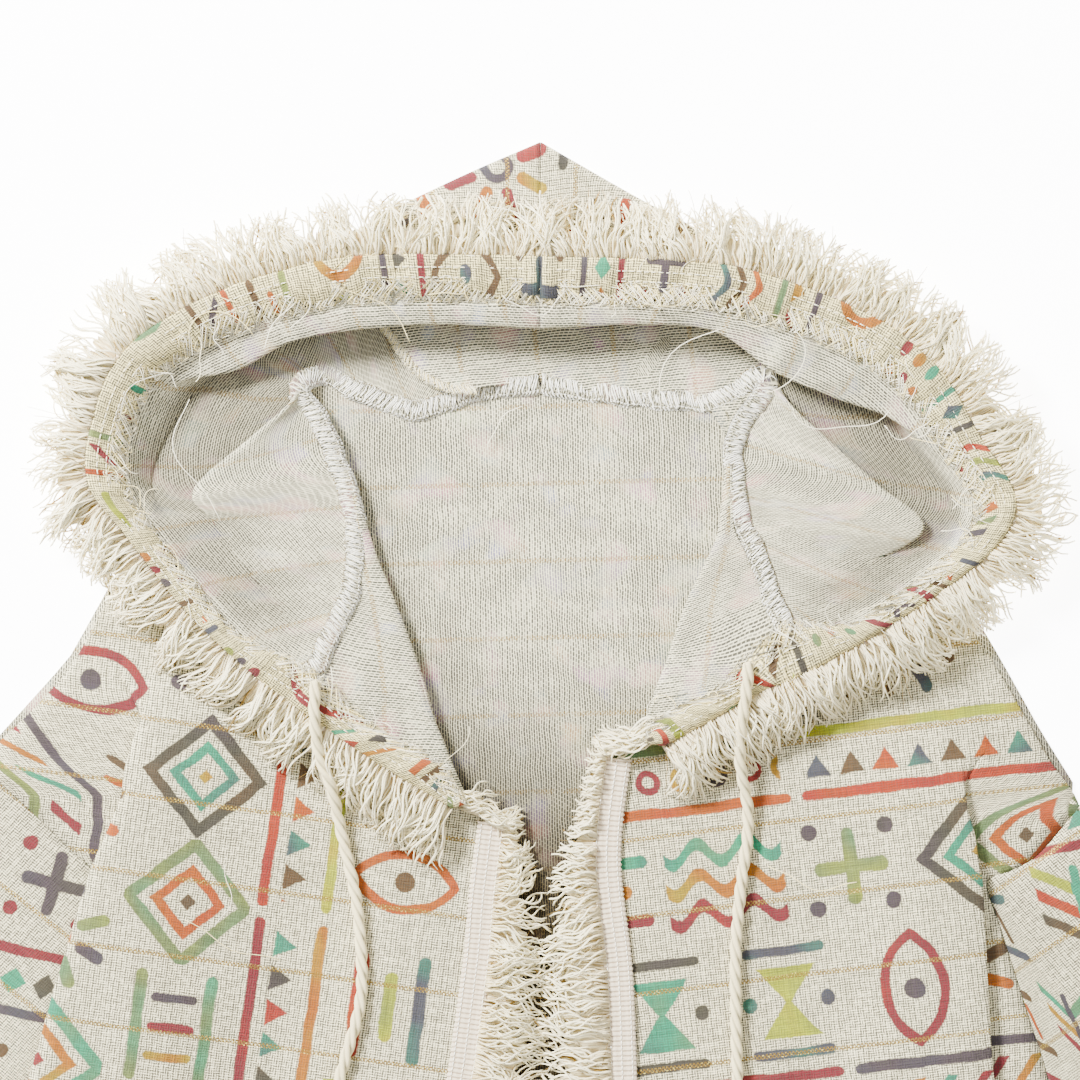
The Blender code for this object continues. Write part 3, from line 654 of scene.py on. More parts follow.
# the inside: its dark columns and the bars that break them, then the ghost of the print; shadeGap deepens the
# gaps with painted shade
insideSide = {
    "specular": 0.2, "sheen": 0.08, "roughness": 0.92, "bump": (0.3, 0.5), "drift": 1.6, "driftScale": 0.09,
    "columnFrom": (0.95, 0.80), "columnTo": 0.36, "columnDepth": (1.08, 0.76),
    "bar": 2.1, "barShift": 0.37, "barEnds": (0.50, 0.30, 0.25, 1.0), "barLuck": (0.0, 0.9, 0.58, 1.0),
    "patchScale": 0.07, "patches": (0.36, 0.62, 1.30, 1.90), "shadeGap": 0.6, "deepest": 0.95,
    "slub": 0.6, "slubStretch": (1.2, 0.05), "blotScale": 0.05, "soft": (0.50, 0.66), "coolScale": 0.06,
    "cool": (0.46, 0.54), "ghostShare": 0.6, "ghostThread": 0.14, "ghostGap": 0.6,
    "brokenScale": 0.12, "broken": (0.30, 0.48), "brokenShare": 0.62,
}


def attribute(name):
    return node("Attribute", attribute_name=name).outputs["Fac"]


def clothPlace():
    made = node("UVMap", uv_map="cloth")
    scaled = node("VectorMath", operation="SCALE")
    plug(scaled.inputs[0], made.outputs[0])
    scaled.inputs["Scale"].default_value = 1 / mm
    return scaled.outputs[0]


def stretched(place, x, y, scale=1.0):
    made = node("VectorMath", operation="MULTIPLY")
    plug(made.inputs[0], place)
    made.inputs[1].default_value = (x, y, 0.0)
    return noise(made.outputs[0], scale)["Fac"]


def threadGrid(x, y, drift, amount):
    # places counted in threads, with the number of the nearest gap and how near it is, each way
    found = []
    for value, push in ((x, drift[0]), (y, drift[1])):
        counted = times(plus(value, about(push, amount)), 1 / weave["pitch"])
        gap = nearest(counted)
        found.append((counted, gap, size(times(minus(counted, gap), 2.0))))
    return found


def makeWeave():
    # depth of the gaps between threads, brightness of the threads and share of gilt
    tree, place, result = startGroup("weave", (("Gap", "Float"), ("Slub", "Float"), ("Gilt", "Float")))
    x, y = parts(place)[:2]
    drift = parts(noise(place, weave["driftScale"])["Color"])
    (countX, gapX, nearX), (countY, gapY, nearY) = threadGrid(x, y, drift, weave["drift"])
    stair = cycle(plus(whole(countX), whole(countY)), 4.0)
    upright = below(stair, 1.5)
    line = eased(chosen(upright, nearY, nearX), *weave["line"])
    every = cycle(gapX, 2.0)
    hole = times(eased(distance(nearX, nearY), *weave["hole"]), chosen(every, 1.0, weave["weakHole"]))
    luck = chance(vector(gapX, gapY, 1.0))["Value"]
    loose = eased(noise(place, weave["looseScale"])["Fac"], *weave["loose"])
    gap = times(plus(times(line, weave["lineDepth"]), times(hole, eased(luck, *weave["holeLuck"]))), loose)
    plug(result["Gap"], least(gap, 1.0))
    along, (across, down) = weave["slubStretch"], weave["slub"]
    slub = plus(about(stretched(place, along, 1.0), across), about(stretched(place, 1.0, along), down))
    plug(result["Slub"], plus(1.0, slub))
    stripe = minus(y, times(nearest(times(y, 1 / weave["stripe"])), weave["stripe"]))
    fromStripe = size(plus(stripe, about(drift[2], weave["stripeWander"])))
    dashes = eased(wave(plus(x, times(nearest(times(y, 1.1)), 0.8)), weave["dash"]), *weave["dashEnds"])
    plug(result["Gilt"], times(eased(fromStripe, weave["stripeWidth"], weave["stripeWidth"] - 0.5), dashes))
    return tree


weaveGroup = makeWeave()


def shaded(colour, amount):
    made = node("VectorMath", operation="SCALE")
    plug(made.inputs[0], colour if isinstance(colour, bpy.types.NodeSocket) else colour[:3])
    plug(made.inputs["Scale"], amount)
    return made.outputs[0]


def turnedPlace(place, degrees, shift, squeeze=1.0):
    made = node("Mapping")
    made.inputs["Scale"].default_value = (squeeze, 1, 1)
    plug(made.inputs["Vector"], place)
    made.inputs["Rotation"].default_value = (0, 0, math.radians(degrees))
    made.inputs["Location"].default_value = (*shift, 0)
    return made.outputs[0]


def makePrinted(name, ground, degrees, shift, squeeze=1.0):
    side = printedSide
    made, inputs = startFinish(name, side["specular"], side["sheen"])
    place = clothPlace()
    gap, slub, gilt = useGroup(weaveGroup, place)[:3]
    mask, ink = useGroup(printDesign, turnedPlace(place, degrees, shift, squeeze))[:2]
    threads = shaded(blended(mask, ground, ink), slub)
    deep = times(gap, chosen(mask, *side["gapShare"]))
    base = blended(deep, threads, weave["gap"])
    # painted glints: random spots of the gilt take the bright glint colour
    glint = over(noise(place, side["glintScale"])["Fac"], side["glintOver"])
    metal = blended(glint, weave["gilt"], weave["glint"])
    plug(inputs["Base Color"], blended(times(gilt, side["giltShare"]), base, metal))
    plug(inputs["Metallic"], times(gilt, side["metal"]))
    plug(inputs["Roughness"], chosen(gilt, *side["rough"]))
    bumped(inputs, times(gap, -1.0), *side["bump"])
    return made


def makeInside():
    # broken dark columns between bright ones, a ghost of the print, and painted shade in the folds
    side = insideSide
    made, inputs = startFinish("insideCloth", side["specular"], side["sheen"], side["roughness"])
    place = clothPlace()
    x, y = parts(place)[:2]
    shade = attribute("shade")
    drift = parts(noise(place, side["driftScale"])["Color"])
    _, gapX, nearX = threadGrid(x, y, drift, side["drift"])[0]
    every = cycle(gapX, 2.0)
    column = times(eased(nearX, chosen(every, *side["columnFrom"]), side["columnTo"]),
                   chosen(every, *side["columnDepth"]))
    barY = times(plus(y, about(drift[1], side["drift"])), 1 / side["bar"])
    barY = plus(barY, times(gapX, side["barShift"]))
    barRow = nearest(barY)
    bars = eased(size(minus(barY, barRow)), *side["barEnds"])
    luck = eased(chance(vector(gapX, barRow, 2.0))["Value"], *side["barLuck"])
    patches = eased(stretched(place, 0.4, 1.0, side["patchScale"]), *side["patches"])
    # where shade is painted, the dark gaps grow too
    gap = times(column, bars, luck, plus(patches, times(shade, side["shadeGap"])))
    slub = plus(1.0, about(stretched(place, *side["slubStretch"]), side["slub"]))
    blot = noise(place, side["blotScale"], 2.0)
    soft = eased(blot["Fac"], *side["soft"])
    cool = eased(stretched(place, 0.3, 1.0, side["coolScale"]), *side["cool"])
    tint = blended(cool, weave["ghost"], weave["coolGhost"])
    ghost = blended(side["ghostShare"], blot["Color"], tint, "MULTIPLY")
    threads = shaded(blended(times(soft, side["ghostThread"]), weave["inside"], ghost), slub)
    deep = blended(times(soft, side["ghostGap"]), weave["insideGap"], ghost)
    base = blended(least(gap, side["deepest"]), threads, deep)
    worn = eased(noise(place, side["brokenScale"])["Fac"], *side["broken"])
    broken = times(useGroup(weaveGroup, place)["Gilt"], worn)
    base = blended(times(broken, side["brokenShare"]), base, weave["giltBack"])
    # painted shade: darker and browner towards shadeTint where the shade attribute is high
    plug(inputs["Base Color"], blended(shade, base, weave["shadeTint"], "MULTIPLY"))
    bumped(inputs, times(gap, -1.0), *side["bump"])
    return made


printedLeft = makePrinted("printedLeft", weave["thread"], 90.0, (31.0, 12.0))
printedRight = makePrinted("printedRight", weave["thread"], 0.0, (-18.0, 37.0))
printedSleeve = makePrinted("printedSleeve", weave["thread"], -24.0, (5.0, -20.0))
casingCloth = makePrinted("casingCloth", weave["casing"], 90.0, (14.0, 3.0), 1.7)
insideCloth = makeInside()


# Yarn, cord and thread

yarn = {
    "light": (0.98, 0.90, 0.60, 1), "dark": (0.66, 0.50, 0.24, 1), "gilt": (0.30, 0.18, 0.03, 1),
    # grooveShade: how dark the painted shade in the cord's grooves is
    "giltShare": 0.03, "cord": (0.95, 0.82, 0.46, 1), "grooveShade": 0.45, "thread": (0.98, 0.91, 0.66, 1),
    "yellowThread": (0.97, 0.82, 0.38, 1), "white": (0.98, 0.95, 0.82, 1),
    # the fringe curtain runs from painted shade to the yarn's own ivory
    "curtainShade": (0.50, 0.37, 0.18, 1), "curtainLight": (0.96, 0.86, 0.56, 1),
    "tapeDark": (0.40, 0.29, 0.18, 1), "tapeLight": (0.94, 0.80, 0.58, 1),
    # how far the painted shade at the root reaches, and the share of dark from that root shade, the tone and
    # the grain
    "rootEnds": (0.40, 0.0), "rootShade": 0.40, "toneShade": 0.45, "grainShade": 0.30, "grainScale": 900.0,
    "metal": 0.6, "rough": (0.8, 0.35), "bump": (0.25, 0.5),
    "streak": (1.5, 0.09), "streakEnds": (0.36, 0.60), "curtainBump": (0.4, 0.8),
    # share of light on the tape: everywhere, from its ribs (the troughs between them painted shade), along
    # them, and from its grain
    "tapeEvery": 0.05, "tapeRib": 0.75, "tapeRow": 0.10, "tapeGrain": 0.6, "ribEnds": (0.1, 0.85),
    "tapeRowPitch": 3.0, "tapeGrainScale": 1.2, "tapeBump": (0.35, 0.7),
    "cottonGrain": 0.35, "cottonPatch": 0.2, "cottonPatchScale": 0.12, "cottonBump": (0.15, 0.5),
}


def makeYarn():
    # tones differ from yarn to yarn, roots are darker with painted shade, and a few yarns are gilt
    made, inputs = startFinish("ivoryYarn", 0.3, 0.12)
    tone, along = attribute("tone"), attribute("along")
    grain = noise(node("TexCoord").outputs["Object"], yarn["grainScale"], 2.0)["Fac"]
    # painted shade at the root; the tone and grain are the yarn's own
    shade = plus(times(eased(along, *yarn["rootEnds"]), yarn["rootShade"]),
                 times(calc("POWER", minus(1.0, tone), 2.0), yarn["toneShade"]),
                 about(grain, yarn["grainShade"]))
    gilt = below(tone, yarn["giltShare"])
    plug(inputs["Base Color"], blended(gilt, blended(shade, yarn["light"], yarn["dark"]), yarn["gilt"]))
    plug(inputs["Metallic"], times(gilt, yarn["metal"]))
    plug(inputs["Roughness"], chosen(gilt, *yarn["rough"]))
    bumped(inputs, grain, *yarn["bump"])
    return made


def makeCurtain():
    # streaks that run out from the edge, on the curtain's own map; its dark streaks are painted shade among
    # the yarn roots
    made, inputs = startFinish("fringeCurtain", 0.2, 0.12, 0.9)
    light = eased(stretched(clothPlace(), *yarn["streak"]), *yarn["streakEnds"])
    plug(inputs["Base Color"], blended(light, yarn["curtainShade"], yarn["curtainLight"]))
    bumped(inputs, light, *yarn["curtainBump"])
    return made


def makeTape():
    # ribs across the tape, on the tape's own map, with painted shade in the troughs between them
    made, inputs = startFinish("wovenTape", 0.3, 0.1, 0.8)
    place = clothPlace()
    x, y = parts(place)[:2]
    rib = eased(size(calc("COSINE", times(x, math.pi / frontTrim["ribPitch"]))), *yarn["ribEnds"])
    grain = noise(place, yarn["tapeGrainScale"])["Fac"]
    light = plus(yarn["tapeEvery"], times(rib, yarn["tapeRib"]),
                 times(wave(y, yarn["tapeRowPitch"]), yarn["tapeRow"]), about(grain, yarn["tapeGrain"]))
    plug(inputs["Base Color"], blended(light, yarn["tapeDark"], yarn["tapeLight"]))
    bumped(inputs, light, *yarn["tapeBump"])
    return made


def makeCotton(name, scale, low):
    made, inputs = startFinish(name, 0.25, 0.15, 0.88)
    place = node("TexCoord").outputs["Object"]
    grain = noise(place, scale, 3.0)["Fac"]
    patches = noise(place, scale * yarn["cottonPatchScale"])["Fac"]
    light = plus(low, times(grain, yarn["cottonGrain"]), times(patches, yarn["cottonPatch"]))
    bumped(inputs, grain, *yarn["cottonBump"])
    return made, inputs, light


def makeCord():
    # painted shade along the grooves between the three strands, which the rope's own map follows
    made, inputs, light = makeCotton("cordCotton", 1500.0, 0.66)
    x, y = parts(clothPlace())[:2]
    turn = minus(times(y, 2 / cords["diameter"]), times(x, 2 * math.pi / cords["twist"]))
    grooveShade = eased(calc("COSINE", times(turn, 3.0)), 0.35, 0.98)
    plug(inputs["Base Color"], shaded(yarn["cord"], times(light, minus(1.0, times(grooveShade, yarn["grooveShade"])))))
    return made


def makeThread():
    made, inputs, light = makeCotton("seamThread", 2500.0, 0.74)
    colour = blended(eased(attribute("tone"), 0.3, 0.5), yarn["yellowThread"], yarn["thread"])
    plug(inputs["Base Color"], shaded(colour, light))
    return made


def makeWhiteThread():
    made, inputs, light = makeCotton("whiteThread", 2500.0, 0.80)
    plug(inputs["Base Color"], shaded(yarn["white"], light))
    return made


ivoryYarn = makeYarn()
fringeCurtain = makeCurtain()
seamThread = makeThread()
whiteThread = makeWhiteThread()
print("finishes made")


# Fronts: rows of y, inner edge, fold line, depth of the fold, outer edge, how far it has formed

fronts = {
    "wall": 1.3, "low": 5.2, "shoulder": 2.9, "high": 4.0, "foldTop": 13.2, "layer": 4.0, "wave": 0.55,
    # the fold's section: column of its top edge, how far the cloth turns in and down at its two edges
    "foldAt": 4, "edgeIn": 1.3, "backIn": 1.2, "down": 0.9, "edgeTop": 8.0, "backTop": 7.0, "backDrop": 1.2,
    "near": 6.0, "nearShare": 0.42, "panelShares": (0.0, 0.28, 0.54), "creaseFade": (2.6, 3.6),
    "rows": 104, "panel": 40, "fold": 40, "turn": {-1: -8.0, 1: 7.0}, "seamTop": {-1: -100.0, 1: -118.0},
    -1: ((52, -97.5, -110, 0, -116.5, 0.0), (26, -85, -128, 0, -142, 0.0), (0, -79, -146, 0, -167, 0.0),
         (-24, -67.5, -158, 0, -191, 0.0), (-54, -56, -165, 4, -208, 0.30), (-76, -49, -173, 9, -227, 0.72),
         (-99, -40.5, -182, 14, -248.5, 0.88), (-113, -34.5, -186, 17, -233.5, 1.0),
         (-121, -30.5, -189, 18, -225, 1.0), (-126, -18, -191, 19, -219.5, 1.0),
         (-137, -19, -196, 20, -208.5, 1.0), (-147, -20, -200, 23, -198.5, 1.0),
         (-170, -23, -207, 26, -190.5, 1.0), (-200, -26, -216, 33, -191.5, 1.0),
         (-235, -31, -226, 38, -196.5, 1.0), (-275, -33, -238, 42, -204.5, 1.0),
         (-340, -34, -250, 37, -221, 1.0), (-450, -35, -262, 29, -241, 1.0),
         (-600, -36, -276, 23, -262, 1.0), (-750, -36, -286, 21, -273, 1.0),
         (-880, -36, -292, 19, -281, 1.0)),
    1: ((56, 88, 103, 0, 107, 0.0), (28, 81.5, 118, 0, 131, 0.0), (0, 76, 133, 0, 155.5, 0.0),
        (-24, 64.5, 146, 0, 177, 0.0), (-54, 54.5, 156, 3, 197.5, 0.05), (-76, 45, 167, 6, 210.5, 0.15),
        (-92, 40, 174, 9, 219.5, 0.35), (-98, 27, 177, 10, 223, 0.5), (-117, 24.5, 184, 12, 235.5, 0.9),
        (-128, 23, 188, 13, 226.5, 1.0), (-140, 22, 190, 14, 215.5, 1.0), (-146, 22, 191, 14, 204.5, 1.0),
        (-151, 22.5, 192, 15, 194.5, 1.0), (-171, 25, 193, 15, 200.5, 1.0), (-209, 28, 195, 15, 212.5, 1.0),
        (-238, 29, 197, 16, 221.5, 1.0), (-290, 30, 205, 18, 229.5, 1.0), (-340, 31, 214, 19, 235, 1.0),
        (-450, 32, 232, 20, 250, 1.0), (-600, 33, 250, 21, 266, 1.0), (-750, 34, 262, 21, 276, 1.0),
        (-880, 34, 270, 20, 282, 1.0)),
    "creases": {
        -1: ((-110, -120, -150, -230, 16, 1.5), (-190, -150, -150, -300, 13, 1.2),
             (-60, -170, -110, -250, 12, 0.9), (-90, -300, -130, -560, 18, 1.6),
             (-200, -380, -180, -700, 20, 1.8), (-120, -620, -90, -840, 18, 1.5),
             (-225, -640, -230, -860, 15, 1.4), (-60, -480, -75, -640, 14, -0.9),
             (-165, -60, -120, -110, 12, 1.2)),
        1: ((150, -70, 180, -190, 12, 1.7), (100, -110, 85, -200, 15, 1.0), (165, -170, 150, -290, 14, 1.4),
            (70, -300, 110, -540, 17, 1.5), (170, -330, 190, -640, 19, 1.8), (100, -600, 130, -830, 18, 1.5),
            (220, -600, 235, -840, 15, 1.4), (60, -420, 70, -600, 14, -0.9),
            (120, -200, 118, -290, 12, -0.8)),
    },
}


def frontHeight(x, y):
    wave = np.sin(x / 31.0 + y / 83.0) + 0.6 * np.sin(y / 67.0 - x / 55.0 + 1.3)
    return fronts["high"] + fronts["wave"] * wave


def frontGrid(side):
    rows = splineAt(fronts[side], np.linspace(0, len(fronts[side]) - 1, fronts["rows"]))
    y, inner, fold, depth, outer, formed = rows.T
    formed = np.clip(formed, 0, 1)
    low = np.where(y < fronts["seamTop"][side], fronts["low"], fronts["shoulder"])
    back = fold - side * depth
    near = side * np.minimum(fronts["near"], depth * fronts["nearShare"])
    edgeIn, backIn, down = side * fronts["edgeIn"], side * fronts["backIn"], fronts["down"]
    top, layer, foldAt = fronts["foldTop"], fronts["layer"], fronts["foldAt"]
    columns = [(x, frontHeight(x, y)) for x in between(inner, fold, *fronts["panelShares"])]
    columns += [
        (back - side * fronts["backTop"], top - fronts["backDrop"]), (fold - side * fronts["edgeTop"], top),
        (fold - edgeIn, top - down), (fold, top - layer / 2), (fold - edgeIn, top - layer + down),
        (fold - near, top - layer), (back + near, top - layer), (back + backIn, top - layer - down),
        (back, top - 1.5 * layer), (back + backIn, top - 2 * layer + down), (outer, low),
    ]
    last = len(columns) - 1
    controls = []
    for i, (foldedX, foldedZ) in enumerate(columns):
        beyond = max(0, (i - foldAt) / (last - foldAt))
        x = inner + (fold - inner) * i / foldAt if i < foldAt else fold + (outer - fold) * beyond
        z = frontHeight(x, y) * (1 - beyond) + low * beyond
        controls.append(np.stack([x + (foldedX - x) * formed, y, z + (foldedZ - z) * formed], axis=1))
    panelEnd = foldAt - 1
    places = np.concatenate([np.linspace(0, panelEnd, fronts["panel"], endpoint=False),
                             np.linspace(panelEnd, last, fronts["fold"])])
    points = loft(np.stack(controls, axis=1), places)
    uv = turnedMap(points[:, :1, 0] + side * runAcross(points), points[..., 1], fronts["turn"][side])
    fade = 1 - smoothStep(*fronts["creaseFade"], places)
    points[..., 2] += creaseHeight(points, fronts["creases"][side]) * fade
    return points, uv


def turnedMap(u, v, degrees, shift=(0.0, 0.0)):
    turn = math.radians(degrees)
    a = u * math.cos(turn) + v * math.sin(turn) + shift[0]
    b = v * math.cos(turn) - u * math.sin(turn) + shift[1]
    return np.stack([a, b], axis=-1) * mm


def makeFronts():
    for side, word in sideNames.items():
        points, uv = frontGrid(side)
        printed = printedLeft if side < 0 else printedRight
        piece = gridPiece("frontPanel" + word, points, uv, [printed, insideCloth], fronts["wall"],
                          flip=side > 0)
        settle(piece, "cloth", "front_" + word.lower())


makeFronts()
print("fronts made")


# Back: its outline, row by row

back = {
    "wall": 1.3, "floor": 0.8, "rows": 100, "across": 72,
    -1: ((-105, 65), (-130, 39), (-160, 9), (-192, -24), (-210, -56), (-228, -76), (-249, -99), (-234, -113),
         (-220, -126), (-209, -137), (-199, -147), (-191, -170), (-192, -200), (-197, -235), (-205, -275),
         (-223, -340), (-243, -450), (-264, -600), (-275, -750), (-283, -880)),
    1: ((95, 66), (122, 39), (155, 2), (188, -36), (201, -58), (219, -90), (236, -117), (227, -128),
        (216, -140), (205, -146), (195, -151), (201, -171), (213, -209), (222, -238), (230, -290),
        (236, -340), (251, -450), (267, -600), (277, -750), (283, -880)),
    "neck": ((-106, 70), (-97, 72), (-80, 65), (-58, 58), (-30, 66), (-2, 70), (25, 65), (52, 63), (72, 61),
             (86, 68), (96, 72)),
    # left edge of what shows of the inside, from the foot up, and where it has painted shade: towards the
    # foot, beside that edge, and in the corners of the neck
    "opening": ((-33, -130), (-52, -64), (-78, 0), (-86, 60)),
    "foot": (-160.0, -15.0), "footShade": 0.97, "beside": 20.0, "besideEnd": (20.0, 60.0),
    "besideShade": 0.24, "neckFrom": (30.0, 66.0), "corner": (-20.0, -70.0), "neckShade": 0.18,
    "creases": ((-40, 40, -50, -80, 16, 0.9), (20, 30, 5, -110, 20, 1.0), (60, 20, 40, -70, 14, 0.8),
                (-75, 30, -60, -40, 12, 0.8), (-10, -60, 0, -200, 22, 0.8), (-2, -150, 4, -420, 18, 0.6)),
}


def backGrid():
    rows = np.linspace(0, 1, back["rows"]) ** 1.25
    across = np.linspace(0, 1, back["across"])
    hem = plan["hem"]
    neck = np.array(back["neck"], float)
    topX = neck[0, 0] + (neck[-1, 0] - neck[0, 0]) * across
    top = np.interp(topX, neck[:, 0], neck[:, 1])
    y = top[None, :] + (hem - top[None, :]) * rows[:, None]
    level = top.mean() + (hem - top.mean()) * rows
    ends = []
    for side in sideNames:
        line = np.array(back[side], float)[::-1]
        ends.append(np.interp(level, line[:, 1], line[:, 0]))
    x = ends[0][:, None] + (ends[1] - ends[0])[:, None] * across[None, :]
    points = np.stack([x, y, np.full_like(x, back["floor"])], axis=-1)
    points[..., 2] += np.maximum(creaseHeight(points, back["creases"]), 0)
    return points, turnedMap(x, y, 1.5, (0.0, 9.0))


def backShade(points):
    # painted shade on the back's inside, from the foot, the opening's edge and the neck's corners
    x, y = points[..., 0], points[..., 1]
    line = np.array(back["opening"], float)
    edge = np.interp(y, line[:, 1], line[:, 0])
    foot = back["footShade"] * (1 - smoothStep(*back["foot"], y)) ** 1.5
    beside = np.exp(-((x - edge) / back["beside"]) ** 2) * (1 - smoothStep(*back["besideEnd"], y))
    neck = smoothStep(*back["neckFrom"], y) * smoothStep(*back["corner"], -np.abs(x))
    return np.clip(foot + back["besideShade"] * beside + back["neckShade"] * neck, 0, 1)


def makeBack():
    points, uv = backGrid()
    piece = gridPiece("backPanel", points, uv, [insideCloth, printedRight], back["wall"], flip=True,
                      shade=backShade(points))
    settle(piece, "cloth", "back")


makeBack()
print("back made")


# Sleeves: armhole seam from the top edge to the underarm, and the cuff

sleeves = {
    "wall": 1.3, "floor": 0.8, "high": 5.2, "upperFrom": 3.2, "lift": 2.0, "bow": 9.0, "rows": 60,
    "around": 80,
    # the armhole seam is part of the back's outline
    "seam": {-1: back[-1][6:15], 1: back[1][6:15]},
    "cuff": {-1: ((-520, -440), (-415, -548)), 1: ((520, -475), (412, -583))},
    "creases": {
        -1: ((-230, -140, -330, -230, 11, 1.2), (-215, -200, -300, -330, 14, 1.6),
             (-215, -260, -330, -400, 12, 1.3), (-330, -210, -430, -350, 15, 1.5),
             (-350, -330, -430, -470, 14, 1.3)),
        1: ((225, -150, 330, -250, 11, 1.2), (222, -210, 300, -340, 14, 1.6), (240, -290, 330, -420, 12, 1.3),
            (330, -240, 430, -380, 15, 1.5), (350, -360, 430, -500, 14, 1.3)),
    },
}


def sleeveGrid(side):
    seam, cuff = (np.array(sleeves[part][side], float) for part in ("seam", "cuff"))
    last = len(seam) - 1
    share = np.linspace(0, 1, sleeves["rows"])
    across = []
    for i, start in enumerate(seam):
        end = cuff[0] + (cuff[1] - cuff[0]) * i / last
        run = (end - start) / np.linalg.norm(end - start)
        out = np.array([-run[1], run[0]]) * side
        place = start + (end - start) * share[:, None]
        bow = sleeves["bow"] * np.sin(np.pi * share) * (1 - 2 * i / last)
        across.append(place + out * bow[:, None])
    across = np.stack(across, axis=1)
    height = sleeves["high"] + sleeves["lift"] * np.sin(np.pi * np.minimum(share * 1.4, 1.0))
    rows = []
    for line, high in zip(across, height):
        first, final = line[0] + (line[1] - line[0]) * 0.2, line[-1] + (line[-2] - line[-1]) * 0.2
        edge = (sleeves["floor"] + sleeves["high"]) / 2
        upper = [(*first, sleeves["high"])] + [(*p, high) for p in line[1:-1]] + [(*final, sleeves["high"])]
        lower = [(*p[:2], sleeves["floor"]) for p in upper[::-1]]
        rows.append([(*line[0], edge), *upper, (*line[-1], edge), *lower, (*line[0], edge)])
    rows = np.array(rows)
    places = np.linspace(0, rows.shape[1] - 1, sleeves["around"] + 1)
    points = loft(rows, places)
    points[..., 2] = np.maximum(points[..., 2], sleeves["floor"])
    points[:, -1] = points[:, 0]
    u = runAcross(points)
    middle = seam.mean(axis=0)
    reach = unit(cuff.mean(axis=0) - middle)
    v = (points[..., :2] - middle) @ reach
    isUpper = points[..., 2] > sleeves["upperFrom"]
    points[..., 2] += np.where(isUpper, creaseHeight(points, sleeves["creases"][side]), 0)
    return points, turnedMap(u, -v, 0, (300.0 * side, 40.0))


def makeSleeves():
    for side, word in sideNames.items():
        points, uv = sleeveGrid(side)
        piece = gridPiece("sleeve" + word, points, uv, [printedSleeve, insideCloth], sleeves["wall"],
                          flip=side < 0, closed=True)
        settle(piece, "cloth", "sleeve_" + word.lower())


makeSleeves()
print("sleeves made")


# Hood: for each section the mouth edge, the roll, the crown fold or hollow, the rise, the neck
# seam, all as x, y, z, and how far the edge is turned back

